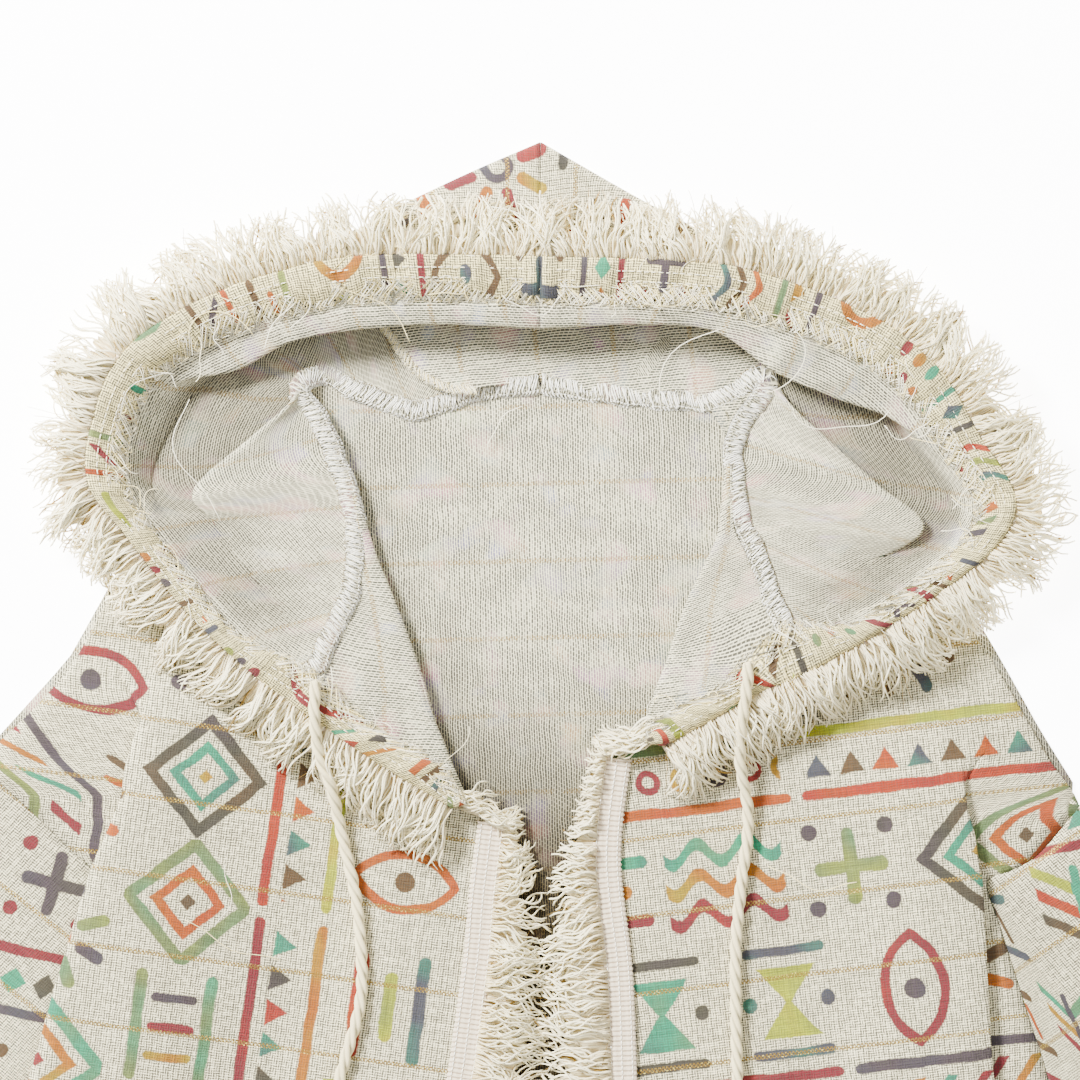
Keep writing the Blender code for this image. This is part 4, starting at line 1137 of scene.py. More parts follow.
hood = {
    "wall": 1.3, "floor": 0.8, "rows": 110, "across": 84, "turn": 90.0,
    "leaf": {-1: (4.1, 8.1), 1: (4.1, 8.9)}, "leafFade": 0.9, "leafMiddle": 13.4, "leafShare": 0.85,
    # the leaf: least height of its underside, height of its top over the rise, and its folded edge as
    # distance out and height over the underside; then how far in the crown's folds lie
    "under": 6.2, "crest": 5.0, "leafTurn": ((5.0, 0.0), (8.5, 1.6), (5.0, 3.2)), "turnBack": 7.0,
    "creaseEnd": (1.0, 0.2), "mapFrom": (40.0, 120.0),
    # where painted shade darkens the leaf's hollow and the crown's fold along a section, how dark, and where
    # that ends
    "hollow": (3.6, 5.6, 11.6, 12.2), "fold": (3.4, 4.4, 11.0, 14.0), "hollowShade": 0.58, "foldShade": 0.45,
    "shadeEnd": (9.4, 10.8),
    -1: (
        (-1.97, 122, 24, -1.97, 93, 20, -1.97, 175, 3.4, -1.97, 92, 0.8, -1.97, 67.3, 0.8, 1.0),
        (-45, 123, 24, -42, 95, 20, -43, 157, 3.4, -35, 88, 0.8, -30, 63.3, 0.8, 1.0),
        (-85, 122, 24, -80, 93, 19, -83, 136, 3.6, -66, 78, 0.8, -58, 55.3, 0.8, 0.9),
        (-122, 114, 23, -112, 87, 17, -113, 110, 3.4, -91, 80, 0.9, -80, 62.3, 0.8, 0.6),
        (-155, 101, 22, -136, 75, 14, -131, 87, 2.4, -106, 73, 2.4, -97, 70.4, 0.9, 0.25),
        (-184, 80, 22, -165, 68, 13, -150, 68, 2.4, -112, 60, 7.6, -105.4, 66.4, 7.4, 0.0),
        (-197, 50, 21, -182, 45, 13, -166, 44, 2.6, -130, 44, 8.6, -99, 55, 7.6, 0.0),
        (-198, 24, 21, -184, 23, 15, -172, 23, 6.4, -154, 22, 9.2, -90, 37, 7.8, 0.0),
        (-182, 2, 20, -172, 3, 15, -161, 5, 13.4, -145, 8, 13.2, -83, 14, 8.4, 0.0),
        (-162, -24, 18, -153, -21, 15, -142, -18, 13.4, -128, -15, 12.8, -81, -8, 9.6, 0.0),
        (-140, -47, 17, -133, -43, 15, -123, -39, 13, -112, -36, 12, -86, -29, 11.4, 0.0),
        (-111, -70, 16, -108, -66.5, 15.4, -105, -63, 14.8, -102, -59, 14.2, -97, -53, 13.4, 0.0),
    ),
    1: (
        (-2.03, 122, 24, -2.03, 93, 20, -2.03, 175, 3.4, -2.03, 92, 0.8, -2.03, 67.3, 0.8, 1.0),
        (42, 121, 24, 39, 95, 20, 38, 152, 3.4, 32, 88, 0.8, 25, 62.3, 0.8, 1.0),
        (80, 118, 25, 74, 92, 20, 76, 131, 3.6, 62, 82, 0.8, 52, 60.3, 0.8, 0.9),
        (112, 109, 25, 101, 74, 18, 104, 106, 3.4, 85, 76, 0.9, 72, 58.3, 0.8, 0.6),
        (146, 94, 25, 127, 63, 15, 125, 83, 2.4, 99, 74, 2.4, 86, 65.4, 0.9, 0.25),
        (172, 72, 25, 152, 54, 14, 144, 64, 2.4, 107, 60, 7.6, 96.4, 70.4, 7.4, 0.0),
        (189, 44, 25, 173, 38, 15, 160, 41, 2.6, 125, 43, 8.6, 88.4, 57, 7.6, 0.0),
        (204, 18, 25, 189, 17, 17, 175, 20, 5.4, 146, 24, 9.2, 81.4, 42, 7.8, 0.0),
        (196, -2, 23, 184, 0, 17, 176, 2, 8.2, 166, 5, 9.8, 81.4, 27, 8.2, 0.0),
        (172, -22, 21, 162, -19, 17, 152, -16, 14.2, 137, -12, 13.4, 85, 8, 8.8, 0.0),
        (143, -41, 19, 135, -37, 16, 126, -33, 14, 115, -26, 12.8, 92, -10, 10.2, 0.0),
        (110, -58, 17, 108, -53, 16.4, 106, -47, 15.6, 104, -41, 14.6, 100, -30, 12.4, 0.0),
    ),
    "creases": {
        -1: ((-120, 95, -85, 62, 5, 2.2), (-150, 78, -112, 60, 5, 1.6), (-60, 92, -48, 66, 6, 1.8),
             (-165, 10, -105, 20, 6, 1.5), (-150, -20, -92, -4, 6, 1.4), (-25, 95, -18, 70, 5, 1.2)),
        1: ((118, 92, 84, 64, 5, 2.0), (60, 94, 36, 68, 6, 1.8), (165, 25, 92, 38, 6, 1.6),
            (150, -8, 92, 8, 6, 1.4), (20, 95, 12, 70, 5, 1.3), (140, 74, 104, 62, 5, 1.4)),
    },
}


def hoodControls(row, over):
    # the section from the mouth edge to the neck seam: hanging plainly, turned back at the crown,
    # or folded over into a leaf beside the neck
    edge, roll, crown, rise, neck = (row[k:k + 3] for k in range(0, 15, 3))
    turned = min(max(row[15], 0.0), 1.0)
    leaf = np.append(unit(neck[:2] - rise[:2]), 0.0)
    up = np.array([0, 0, 1.0])
    start = between(edge, roll, 0, 0.5, 0.8, 1) + between(roll, crown, 0.33, 0.6, 0.82, 1)
    finish = between(rise, neck, 0.25, 0.6, 1)
    plain = start + between(crown, rise, 0.3, 0.6, 0.85, 0.95, 1) + finish
    crest = hood["crest"]
    under = min(max(crown[2], hood["under"]) - rise[2], crest - 5.0)
    folded = start + [crown + (rise - crown) * 0.6 + up * (0.6 * under)]
    folded += [rise + leaf * out + up * (under + high) for out, high in hood["leafTurn"]]
    folded += [rise + up * (crest - 1.2), rise + (neck - rise) * 0.14 + up * crest,
               rise + (neck - rise) * 0.6 + up * crest * 0.35, neck]
    inward = np.append(unit(neck[:2] - edge[:2]), 0.0) * hood["turnBack"]
    turnedBack = [edge, edge + (roll - edge) * 0.55 + up * 1.6, roll - inward + up * 3.6, roll,
                  roll - inward - up * 3.8, (roll + crown) / 2 + up * 0.8, crown + inward + up * 3.2, crown]
    landing = crown + inward + up * (hood["floor"] - crown[2])
    turnedBack += between(landing, rise, 0, 0.3, 0.6, 0.85, 1) + finish
    plain = np.array(plain) * (1 - over) + np.array(folded) * over
    return plain * (1 - turned) + np.array(turnedBack) * turned


def hoodGrid(side):
    around = np.linspace(0, len(hood[side]) - 1, hood["rows"])
    rows = splineAt(hood[side], around)
    low, high = hood["leaf"][side]
    over = plateau(low, low + hood["leafFade"], high - hood["leafFade"], high, around)
    controls = np.stack([hoodControls(row, share) for row, share in zip(rows, over)])
    last = controls.shape[1] - 1
    places = np.linspace(0, last, hood["across"])
    points = loft(controls, places)
    fade = 1 - smoothStep(*(last - short for short in hood["creaseEnd"]), places)
    points[..., 2] += creaseHeight(points, hood["creases"][side]) * fade
    points[..., 2] = np.maximum(points[..., 2], hood["floor"])
    # the map's steps from section to section are those of the mouth edge, or of the leaf's middle
    steps = np.linalg.norm(np.diff(points, axis=0), axis=2)
    leaf = steps[:, int(hood["leafMiddle"] / last * (len(places) - 1))]
    steps = steps[:, 0] + (leaf - steps[:, 0]) * over[1:] * hood["leafShare"]
    u = np.concatenate([[0.0], np.cumsum(steps)])[:, None] * side
    # painted shade in the leaf's hollow, and in the crown's fold where there is no leaf
    hollow = hood["hollowShade"] * plateau(*hood["hollow"], places)
    fold = hood["foldShade"] * plateau(*hood["fold"], places)
    shade = over[:, None] * hollow + (1 - over)[:, None] * fold
    shade = shade * (1 - smoothStep(*hood["shadeEnd"], around))[:, None]
    return points, turnedMap(u, runAcross(points), hood["turn"], hood["mapFrom"]), shade


def makeHoods():
    for side, word in sideNames.items():
        points, uv, shade = hoodGrid(side)
        piece = gridPiece("hood" + word, points, uv, [insideCloth, printedRight], hood["wall"], flip=side < 0,
                          shade=shade)
        settle(piece, "cloth", "hood_" + word.lower())


# Tuck: a pleat of the hood that lies over itself behind the neck, its overlocked edge to the left

hoodTuck = {
    "wall": 1.0, "rows": 90, "across": 24, "top": 104.0, "end": 100.0, "low": 2.1, "lift": 3.2, "reach": 12.0,
    "neckReach": 90.0, "shade": 0.30, "shadeMiddle": 92.0, "shadeWidth": 12.0, "threadsUp": 0.9, "seed": 41,
    "spread": 1.3, "ruffle": 0.7, "turn": 96.0, "mapFrom": (12.0, 5.0),
    "edge": ((-76, 104), (-67, 93), (-56, 83), (-43, 75.5), (-30, 71.5)),
    "net": {"low": -0.6, "high": 3.0, "pitch": 2.3, "radius": 0.24, "uneven": 0.6,
            "shifts": (0.0, 0.5, 0.25)},
}


def tuckTop(across):
    return np.full_like(across, hoodTuck["threadsUp"])


def makeTuck():
    line = evenPath(hoodTuck["edge"], hoodTuck["across"])
    neck = np.array([row[12:14] for side in sideNames for row in hood[side]], float)
    neck = neck[np.abs(neck[:, 0]) < hoodTuck["neckReach"]]
    neck = neck[np.argsort(neck[:, 0])]
    share = np.linspace(0, 1, hoodTuck["rows"])[:, None] ** hoodTuck["spread"]
    x = line[:, 0] + (hoodTuck["end"] - line[:, 0]) * share
    top = hoodTuck["top"]
    down = (top - line[:, 1]) / (top - line[-1, 1])
    y = top - down * (top - np.interp(x, neck[:, 0], neck[:, 1]) - 0.6 - 3 * (1 - share))
    away = (x - line[:, 0]) / hoodTuck["reach"]
    z = hoodTuck["low"] + hoodTuck["lift"] * np.exp(-away ** 2) * (0.3 + 0.7 * down)
    z += hoodTuck["ruffle"] * np.sin(x / 9.0 + y / 14.0) * np.exp(-away / 4) + 0.35
    points = np.stack([x, y, z], axis=-1)
    # painted shade in a band across the tuck, darkest at shadeMiddle
    shade = hoodTuck["shade"] * np.exp(-((y - hoodTuck["shadeMiddle"]) / hoodTuck["shadeWidth"]) ** 2)
    uv = turnedMap(x, y, hoodTuck["turn"], hoodTuck["mapFrom"])
    tuck = gridPiece("hoodTuck", points, uv, [insideCloth], hoodTuck["wall"], flip=True, shade=shade)
    settle(tuck, "cloth")
    path = points[1]
    net = overlockNet("tuckOverlock", path, planNormals(path, 1), hoodTuck["net"], tuckTop, seamThread,
                      hoodTuck["seed"])
    settle(net, "cloth")


makeHoods()
makeTuck()
print("hood made")


# Lapels: the fold of the neckline and the outer edge as x, y, and the height of the edge

lapels = {
    "wall": 1.3, "rows": 60, "across": 30, "near": 4.5, "over": 10.6, "least": 10.8,
    # distance out from the fold and height, from the front up round it
    "fold": ((1.4, 7.3), (0.2, 8.7), (1.4, 10.1)), "under": 7.0,
    -1: ((-83.5, 24, -85.5, 24, 9.4), (-79, 8, -82.5, 7, 10.0), (-74, -8, -80.5, -10, 10.4),
         (-69, -20, -82.5, -21, 10.8), (-62, -38, -88, -36.5, 11.8), (-57, -52, -96.2, -53.6, 13.2),
         (-53, -64, -110, -70.8, 15.8), (-50, -76, -97, -80, 15.0),
         (-46, -86, -80, -92, 14.2), (-42, -96, -64, -102, 13.4), (-38, -106, -50, -111, 12.4),
         (-33.5, -116, -40, -117.5, 11.2)),
    1: ((79.5, 32, 82, 33, 9.4), (78, 16, 82.4, 18, 9.6), (76, 2, 83.2, 5, 10.0), (72, -8, 87.4, -4, 10.4),
        (64, -24, 93.6, -18, 11.4), (58, -40, 99, -31.4, 12.4), (54, -53, 109.2, -58.8, 16.6),
        (50, -63, 95, -65, 15.6), (47, -72, 77, -75, 14.6), (44, -80, 62, -83.5, 13.6),
        (41, -88, 51, -90, 12.4)),
}


def lapelGrid(side):
    rows = splineAt(lapels[side], np.linspace(0, len(lapels[side]) - 1, lapels["rows"]))
    sections = []
    for x0, y0, x1, y1, high in rows:
        crease = np.array([x0, y0])
        width = math.dist((x0, y0), (x1, y1))
        out = (np.array([x1, y1]) - crease) / width
        near, over = min(lapels["near"], width * 0.6), lapels["over"]
        steps = ((near, lapels["under"]), *lapels["fold"], (near, over),
                 ((near + width) / 2, (over + high) / 2), (width, max(high, lapels["least"])))
        sections.append([(*(crease + out * reach), z) for reach, z in steps])
    points = loft(np.array(sections), np.linspace(0, len(steps) - 1, lapels["across"]))
    u = runLength(points[:, 0])[:, None] * side
    return points, turnedMap(u, runAcross(points), 12 * side, (70.0, 30.0))


def makeLapels():
    for side, word in sideNames.items():
        points, uv = lapelGrid(side)
        piece = gridPiece("lapel" + word, points, uv, [insideCloth, printedRight], lapels["wall"],
                          flip=side > 0)
        settle(piece, "cloth", "lapel_" + word.lower())


makeLapels()
print("lapels made")


# Seams: overlocked seam allowances round the neck, and the allowances under the armholes

seams = {
    "base": 0.8, "steps": 170, "wall": 0.5, "shade": 0.4, "threadsUp": 0.35,
    "bumps": ((0.35, 4.1, 0), (0.2, 1.9, 0)), "sways": ((0.5, 6.3, 0), (0.3, 2.7, 0)),
    "section": ((-6.6, 0.0), (-6.2, 0.9), (-4.4, 1.3), (-1.4, 1.4), (0.6, 1.3), (1.6, 0.8), (1.7, -0.6)),
    "sectionSteps": 11,
    # overlocked threads across the allowance, and a chain along the seam
    "neckOverlock": {"low": -6.4, "high": 2.2, "pitch": 2.8, "radius": 0.34, "uneven": 0.45,
                     "shifts": (0.0, 0.5, 0.28), "seed": 17},
    "neckChain": {"low": 0.8, "high": 2.6, "pitch": 1.7, "radius": 0.34, "uneven": 0.3, "shifts": (0.0,),
                  "seed": 27},
    "armhole": {"height": 3.4, "half": 4.5, "edge": 0.2, "middle": 0.4, "steps": 90},
}


def seamTop(across):
    section = np.array(seams["section"])
    return np.interp(across, section[:, 0], section[:, 1]) + seams["base"] + seams["threadsUp"]


def makeNeckSeams():
    for side, word in sideNames.items():
        end = hood[side][-1]
        neck = np.array([row[12:15] for row in hood[side]] + [end[9:12], end[3:6]])
        path = evenPath(neck, seams["steps"])
        run = runLength(path)
        path[:, 2] += ripple(run, seams["bumps"])
        out = planNormals(path, side)
        path[:, :2] += out[:, :2] * ripple(run, seams["sways"])[:, None]
        section = splineAt(seams["section"], np.linspace(0, len(seams["section"]) - 1, seams["sectionSteps"]))
        section[:, 1] += seams["base"]
        # the roll under the overlock is darkened with painted shade, the same all along
        roll = bandPiece("neckSeam" + word, path, out, section, [insideCloth], seams["wall"], flip=side > 0,
                         shade=seams["shade"])
        settle(roll, "cloth")
        for name in ("neckOverlock", "neckChain"):
            net = seams[name]
            threads = overlockNet(name + word, path, out, net, seamTop, whiteThread, net["seed"] + side)
            settle(threads, "cloth")


def makeArmholes():
    armhole = seams["armhole"]
    half, edge, middle = armhole["half"], armhole["edge"], armhole["middle"]
    section = [(-half, edge), (-half / 2, middle), (0, edge), (half / 2, middle), (half, edge)]
    for side, word in sideNames.items():
        seam = evenPath(sleeves["seam"][side], armhole["steps"])
        path = np.column_stack([seam, np.full(len(seam), armhole["height"])])
        piece = bandPiece("armholeAllowance" + word, path, planNormals(path, side), section, [printedSleeve],
                          seams["wall"], flip=side > 0)
        settle(piece, "cloth")


makeNeckSeams()
makeArmholes()
print("seams made")


# Casing: the turned hem round the mouth of the hood that holds the drawcord

casing = {
    "wall": 0.9, "width": 15.0, "rows": 230, "across": 16, "firstLapelRow": 7, "threadsUp": 1.15,
    # its shares of the hood's roll and of the lapel where they are narrow
    "leastRoll": 6.0, "mostOfRoll": 0.92, "endShare": 0.62, "mostOfLapel": 0.7,
    # distance in from the edge and height over it, across the band
    "section": ((-0.8, -0.6), (-1.9, 0.7), (-1.2, 2.5), (1.6, 3.9), (6.0, 4.7), (10.5, 4.5), (13.6, 3.6),
                (15.4, 2.6)),
    "puckers": ((0.17, 13.0, 0), (0.15, 4.1, 1.1), (0.12, 2.1, 0)), "sways": ((0.07, 6.1, 1), (0.05, 2.6, 0)),
    "stitches": (3.9, 8.4), "stitch": {"pitch": 3.2, "length": 2.3, "radius": 0.24, "sides": 4},
    "net": {"low": 9.2, "high": 18.6, "pitch": 7.4, "radius": 0.27, "uneven": 1.1,
            "shifts": (0.0, 0.17, 0.34, 0.5, 0.67, 0.84), "seed": 5, "places": 500},
}


def edgeRows(side):
    # points of the mouth edge and of a line a band's width inside it
    outer, inner = [], []
    for row in hood[side]:
        edge, roll, neck = (np.array(row[k:k + 3]) for k in (0, 3, 12))
        span = math.dist(edge, roll)
        outer.append(edge)
        if span > casing["leastRoll"]:
            inner.append(edge + (roll - edge) * min(casing["width"] / span, casing["mostOfRoll"]))
        else:
            inner.append(edge + (neck - edge) * casing["endShare"])
    for x0, y0, x1, y1, high in lapels[side][casing["firstLapelRow"]:]:
        width = math.dist((x0, y0), (x1, y1))
        reach = min(casing["width"], width * casing["mostOfLapel"]) / width
        outer.append(np.array([x1, y1, high]))
        level = (lapels["over"] - 0.2 + high) / 2
        inner.append(np.array([x1 + (x0 - x1) * reach, y1 + (y0 - y1) * reach,
                               high + (level - high) * min(reach / 0.4, 1.0)]))
    return np.array(outer), np.array(inner)


def edgeFrames(side, count):
    # even places along the mouth edge, with the way in and the width there
    rows = edgeRows(side)
    outer, inner = (splineAt(line, np.linspace(0, len(line) - 1, plan["fineEdgeSteps"])) for line in rows)
    run = runLength(outer)
    places = np.linspace(0, run[-1], count)
    edge = alongPath(outer, run, places)
    return edge, alongPath(inner, run, places) - edge, places


def casingGrid(side):
    edge, inward, run = edgeFrames(side, casing["rows"])
    section = splineAt(casing["section"], np.linspace(0, len(casing["section"]) - 1, casing["across"]))
    share = section[:, 0] / casing["width"]
    bulge = 1 + ripple(run, casing["puckers"])
    share = share[None] * (1 + ripple(run, casing["sways"], side))[:, None]
    points = edge[:, None] + inward[:, None] * share[..., None]
    points[..., 2] += section[None, :, 1] * bulge[:, None] + 0.5
    return points, turnedMap(run[:, None] * side, section[None, :, 0], 0, (15.0, 210.0))


def casingTop(across):
    section = np.array(casing["section"])
    return np.interp(across, section[:, 0], section[:, 1]) + casing["threadsUp"]


def makeCasings():
    for side, word in sideNames.items():
        points, uv = casingGrid(side)
        piece = gridPiece("casing" + word, points, uv, [casingCloth], casing["wall"], flip=side < 0)
        settle(piece, "cloth", "casing_" + word.lower())
        net = casing["net"]
        edge, inward, _ = edgeFrames(side, net["places"])
        inward = inward / casing["width"]
        for line, across in enumerate(casing["stitches"]):
            name = "casingStitches" + word + str(line)
            stitches = stitchLine(name, edge, inward, across, casingTop(across), seamThread,
                                  **casing["stitch"])
            settle(stitches, "cloth")
        threads = overlockNet("casingOverlock" + word, edge, inward, net, casingTop, seamThread,
                              net["seed"] + side)
        settle(threads, "cloth")


makeCasings()
print("casing made")


# Hood fringe: yarns that stand out from a heading along the mouth edge

hoodFringe = {
    "yarns": 1560, "fibres": 60, "steps": 11, "length": 31.0, "yarnRadius": 0.56, "fibreRadius": 0.16,
    "lock": 9.0, "lean": 0.30, "curl": 1.45, "wave": 0.55, "waves": 1.2, "tangle": 0.09, "climb": 0.42,
    "stray": 0.22, "loft": 4.5, "drop": 8.5, "lowest": 2.2, "seed": 11,
    "curtain": 0.50, "curtainPitch": 0.9, "curtainLift": 1.6, "places": 150, "tipFloor": 9.0, "wall": 0.5,
    # distance out from the edge and height over it, round the heading
    "heading": ((0.2, 0.6), (2.0, 1.2), (4.0, 0.3), (4.0, -0.5), (2.0, -1.2), (0.2, -0.6)),
}


# the curtain of yarn roots under each fringe, and how the fringe falls away from its edge
curtain = {"across": 5, "below": 0.7, "wall": 0.4, "fall": 1.6}
# how yarns differ one by one (reach, turns, swing, thickness) and lock by lock, with pitches in locks
yarnWays = {
    "reach": (0.78, 1.05), "turns": (0.7, 1.3), "swing": (0.4, 1.0), "thick": (0.75, 1.15), "phase": 0.9,
    "bendPitch": 0.8, "reachPitch": 1.7, "reachShare": 0.10, "phasePitch": 0.5, "hump": 0.45, "taper": 0.25,
}
# the stiff gilt fibres among the yarns: they bend less, reach further and lie higher
fibreWays = {"wave": 0.12, "curl": 0.25, "lean": 0.3, "tangle": 0.5, "longer": 2.0, "higher": 1.2}


def lockValues(draw, run, pitch):
    # one random value for each lock, shared by the yarns in it
    count = int(run.max() / pitch) + 3
    values = np.array([draw.uniform(-1, 1) for _ in range(count)])
    place = run / pitch
    index = place.astype(int)
    part = smoothStep(0.35, 0.65, place - index)
    return values[index] * (1 - part) + values[index + 1] * part


def fringeYarns(edge, out, settings, draw, count, radius, length, drop):
    # centres and radii of the yarns that start along an edge; the yarns of a lock bend alike
    def many(low, high):
        return np.array([draw.uniform(low, high) for _ in range(count)])

    def scattered(amount):
        return np.array([draw.gauss(0, amount) for _ in range(count)])

    run = runLength(edge)
    lock, ways = settings["lock"], yarnWays
    starts = np.sort(many(0, run[-1]))
    root = alongPath(edge, run, starts)
    away = unit(alongPath(out, run, starts))
    along = np.stack([-away[:, 1], away[:, 0], np.zeros(len(away))], axis=1)
    lean = settings["lean"] * lockValues(draw, starts, lock) + scattered(settings["tangle"])
    bend = lockValues(draw, starts, lock * ways["bendPitch"]) + scattered(settings["stray"])
    bend = settings["curl"] * bend
    layer = many(0, 1)
    reach = length(starts) * many(*ways["reach"])
    reach = reach * (1 + ways["reachShare"] * lockValues(draw, starts, lock * ways["reachPitch"]))
    phase = 2 * math.pi * lockValues(draw, starts, lock * ways["phasePitch"]) + scattered(ways["phase"])
    phase = phase[:, None]
    turns = (settings["waves"] * many(*ways["turns"]))[:, None]
    swing = (settings["wave"] * many(*ways["swing"]))[:, None]
    t = np.linspace(0, 1, settings["steps"])[None, :]
    angle = lean[:, None] + bend[:, None] * t ** 1.5
    angle = angle + swing * np.minimum(t * 3, 1) * np.sin(2 * math.pi * turns * t + phase)
    climb = settings["climb"] * (1 - 2.3 * t) * (0.3 + layer)[:, None]
    climb = climb + ways["hump"] * swing * np.cos(2 * math.pi * turns * t * 1.2 + phase)
    step = (reach / (settings["steps"] - 1))[:, None]
    walk = np.stack([np.cos(angle) * np.cos(climb), np.sin(angle) * np.cos(climb), np.sin(climb)])
    forward, side, rise = np.cumsum(walk * step, axis=2) - walk[..., :1] * step
    rise = rise + layer[:, None] * settings["loft"] * np.sin(math.pi * np.minimum(t * 0.85 + 0.08, 1))
    rise = rise - drop(starts)[:, None] * t ** curtain["fall"]
    centres = root[:, None] + away[:, None] * forward[..., None] + along[:, None] * side[..., None]
    centres[..., 2] += rise
    radii = radius * (1 - ways["taper"] * t ** 3) * many(*ways["thick"])[:, None]
    return centres, radii, layer


def fringePiece(name, start, out, settings, draw, length, drop, limit=None):
    # ivory yarns, and a few stiff gilt fibres that the yarn finish knows by their tone of zero
    yarns = fringeYarns(start, out, settings, draw, settings["yarns"], settings["yarnRadius"], length, drop)
    fibres = fringeYarns(start, out, settings | fibreWays, draw, settings["fibres"], settings["fibreRadius"],
                         lambda starts: length(starts) + fibreWays["longer"], drop)
    fibres[0][..., 2] += fibreWays["higher"]
    centres = np.concatenate([yarns[0], fibres[0]])
    centres[..., 2] = np.maximum(centres[..., 2], settings["lowest"])
    if limit is not None:
        centres[..., 1] = np.maximum(centres[..., 1], limit)
    radii = np.concatenate([yarns[1], fibres[1]])
    return tubePiece(name, centres, radii, np.concatenate([yarns[2], fibres[2] * 0]), [ivoryYarn])


def curtainPiece(name, start, out, settings, draw, length, drop, flip):
    # a short dense curtain of yarn roots beneath the loose yarns, its dark streaks painted shade
    total = runLength(start)[-1]
    run = np.linspace(0, total, int(total / settings["curtainPitch"]))
    reach = length(run) * settings["curtain"] * np.array([draw.uniform(0.72, 1.0) for _ in run])
    share = np.linspace(0, 1, curtain["across"])
    across = reach[:, None] * share
    points = placed(start, out, np.broadcast_to(run[:, None], across.shape), across, 0.0)
    points[..., 2] += settings["curtainLift"] * np.sin(math.pi * share) - curtain["below"]
    points[..., 2] -= drop(run)[:, None] * (settings["curtain"] * share) ** curtain["fall"]
    uv = turnedMap(run[:, None], across, 0)
    return gridPiece(name, points, uv, [fringeCurtain], curtain["wall"], flip=flip)


def makeHoodFringe():
    settings = hoodFringe
    section = np.array(settings["heading"])

    def length(starts):
        return np.full(len(starts), settings["length"])

    for side, word in sideNames.items():
        draw = random.Random(settings["seed"] + side)
        edge, _, run = edgeFrames(side, settings["places"])
        out = planNormals(edge, -side)
        start = edge + out * 0.4
        start[:, 2] += 0.6
        spare = np.maximum(edge[:, 2] - settings["tipFloor"], 1.0)

        def drop(starts):
            return np.minimum(settings["drop"], np.interp(starts, run, spare))

        yarns = fringePiece("hoodFringe" + word, start, out, settings, draw, length, drop)
        settle(yarns, "fringe", "hood_fringe_" + word.lower())
        roots = curtainPiece("hoodCurtain" + word, start, out, settings, draw, length, drop, side < 0)
        settle(roots, "fringe")
        points = edge[:, None] + out[:, None] * section[None, :, :1]
        points[..., 2] += section[None, :, 1]
        uv = turnedMap(run[:, None], section[None, :, 0], 0)
        heading = gridPiece("fringeHeading" + word, points, uv, [wovenTape], settings["wall"], flip=side < 0)
        settle(heading, "fringe")


# Front trims: a ribbed tape down each front edge with a wavy yarn fringe

frontTrim = {
    "wall": 0.9, "width": 12.0, "across": 8, "ribPitch": 2.2, "ribsPerRow": 2, "ribHeight": 0.45, "lift": 2.0,
    "length": 42.0, "yarns": 1480, "fibres": 50, "steps": 13, "yarnRadius": 0.58, "fibreRadius": 0.16,
    "lock": 10.0, "lean": 0.24, "curl": 1.00, "wave": 0.85, "waves": 1.6, "tangle": 0.10, "climb": 0.34,
    "loft": 5.0, "stray": 0.30, "curtain": 0.62, "curtainPitch": 1.1, "curtainLift": 1.4, "drop": 1.2,
    "slack": 1.35, "pastHem": 4.0, "inside": 1.5, "leastRoom": 8.0, "threadsUp": 0.75, "dent": 0.9,
    "seed": 29, "lowest": 2.6, "stitches": (1.2, 5.8, 10.4),
    "stitch": {"pitch": 2.2, "length": 1.54, "radius": 0.28, "sides": 3},
    # where the fringe starts beyond the tape's upper end, and how far its tips reach: y, x
    "lead": {-1: ((-43, -110), (-38, -118)), 1: ((60, -85), (47, -90))},
    "tips": {-1: ((-880, -2.5), (-200, -3), (-165, -4.5), (-136, -8), (-125, -12), (-110, -24)),
             1: ((-880, -1), (-200, 0), (-170, 1), (-155, 4), (-136, 9), (-112, 17), (-85, 28))},
    -1: ((-29, -124), (-33, -156), (-35.5, -184), (-41, -226), (-43.5, -250), (-45, -340), (-46, -450),
         (-47, -600), (-47, -750), (-47, -878)),
    1: ((37.5, -97), (33, -140), (38, -189), (40, -238), (41, -290), (42, -340), (43, -450), (44, -600),
        (45, -750), (45, -878)),
}


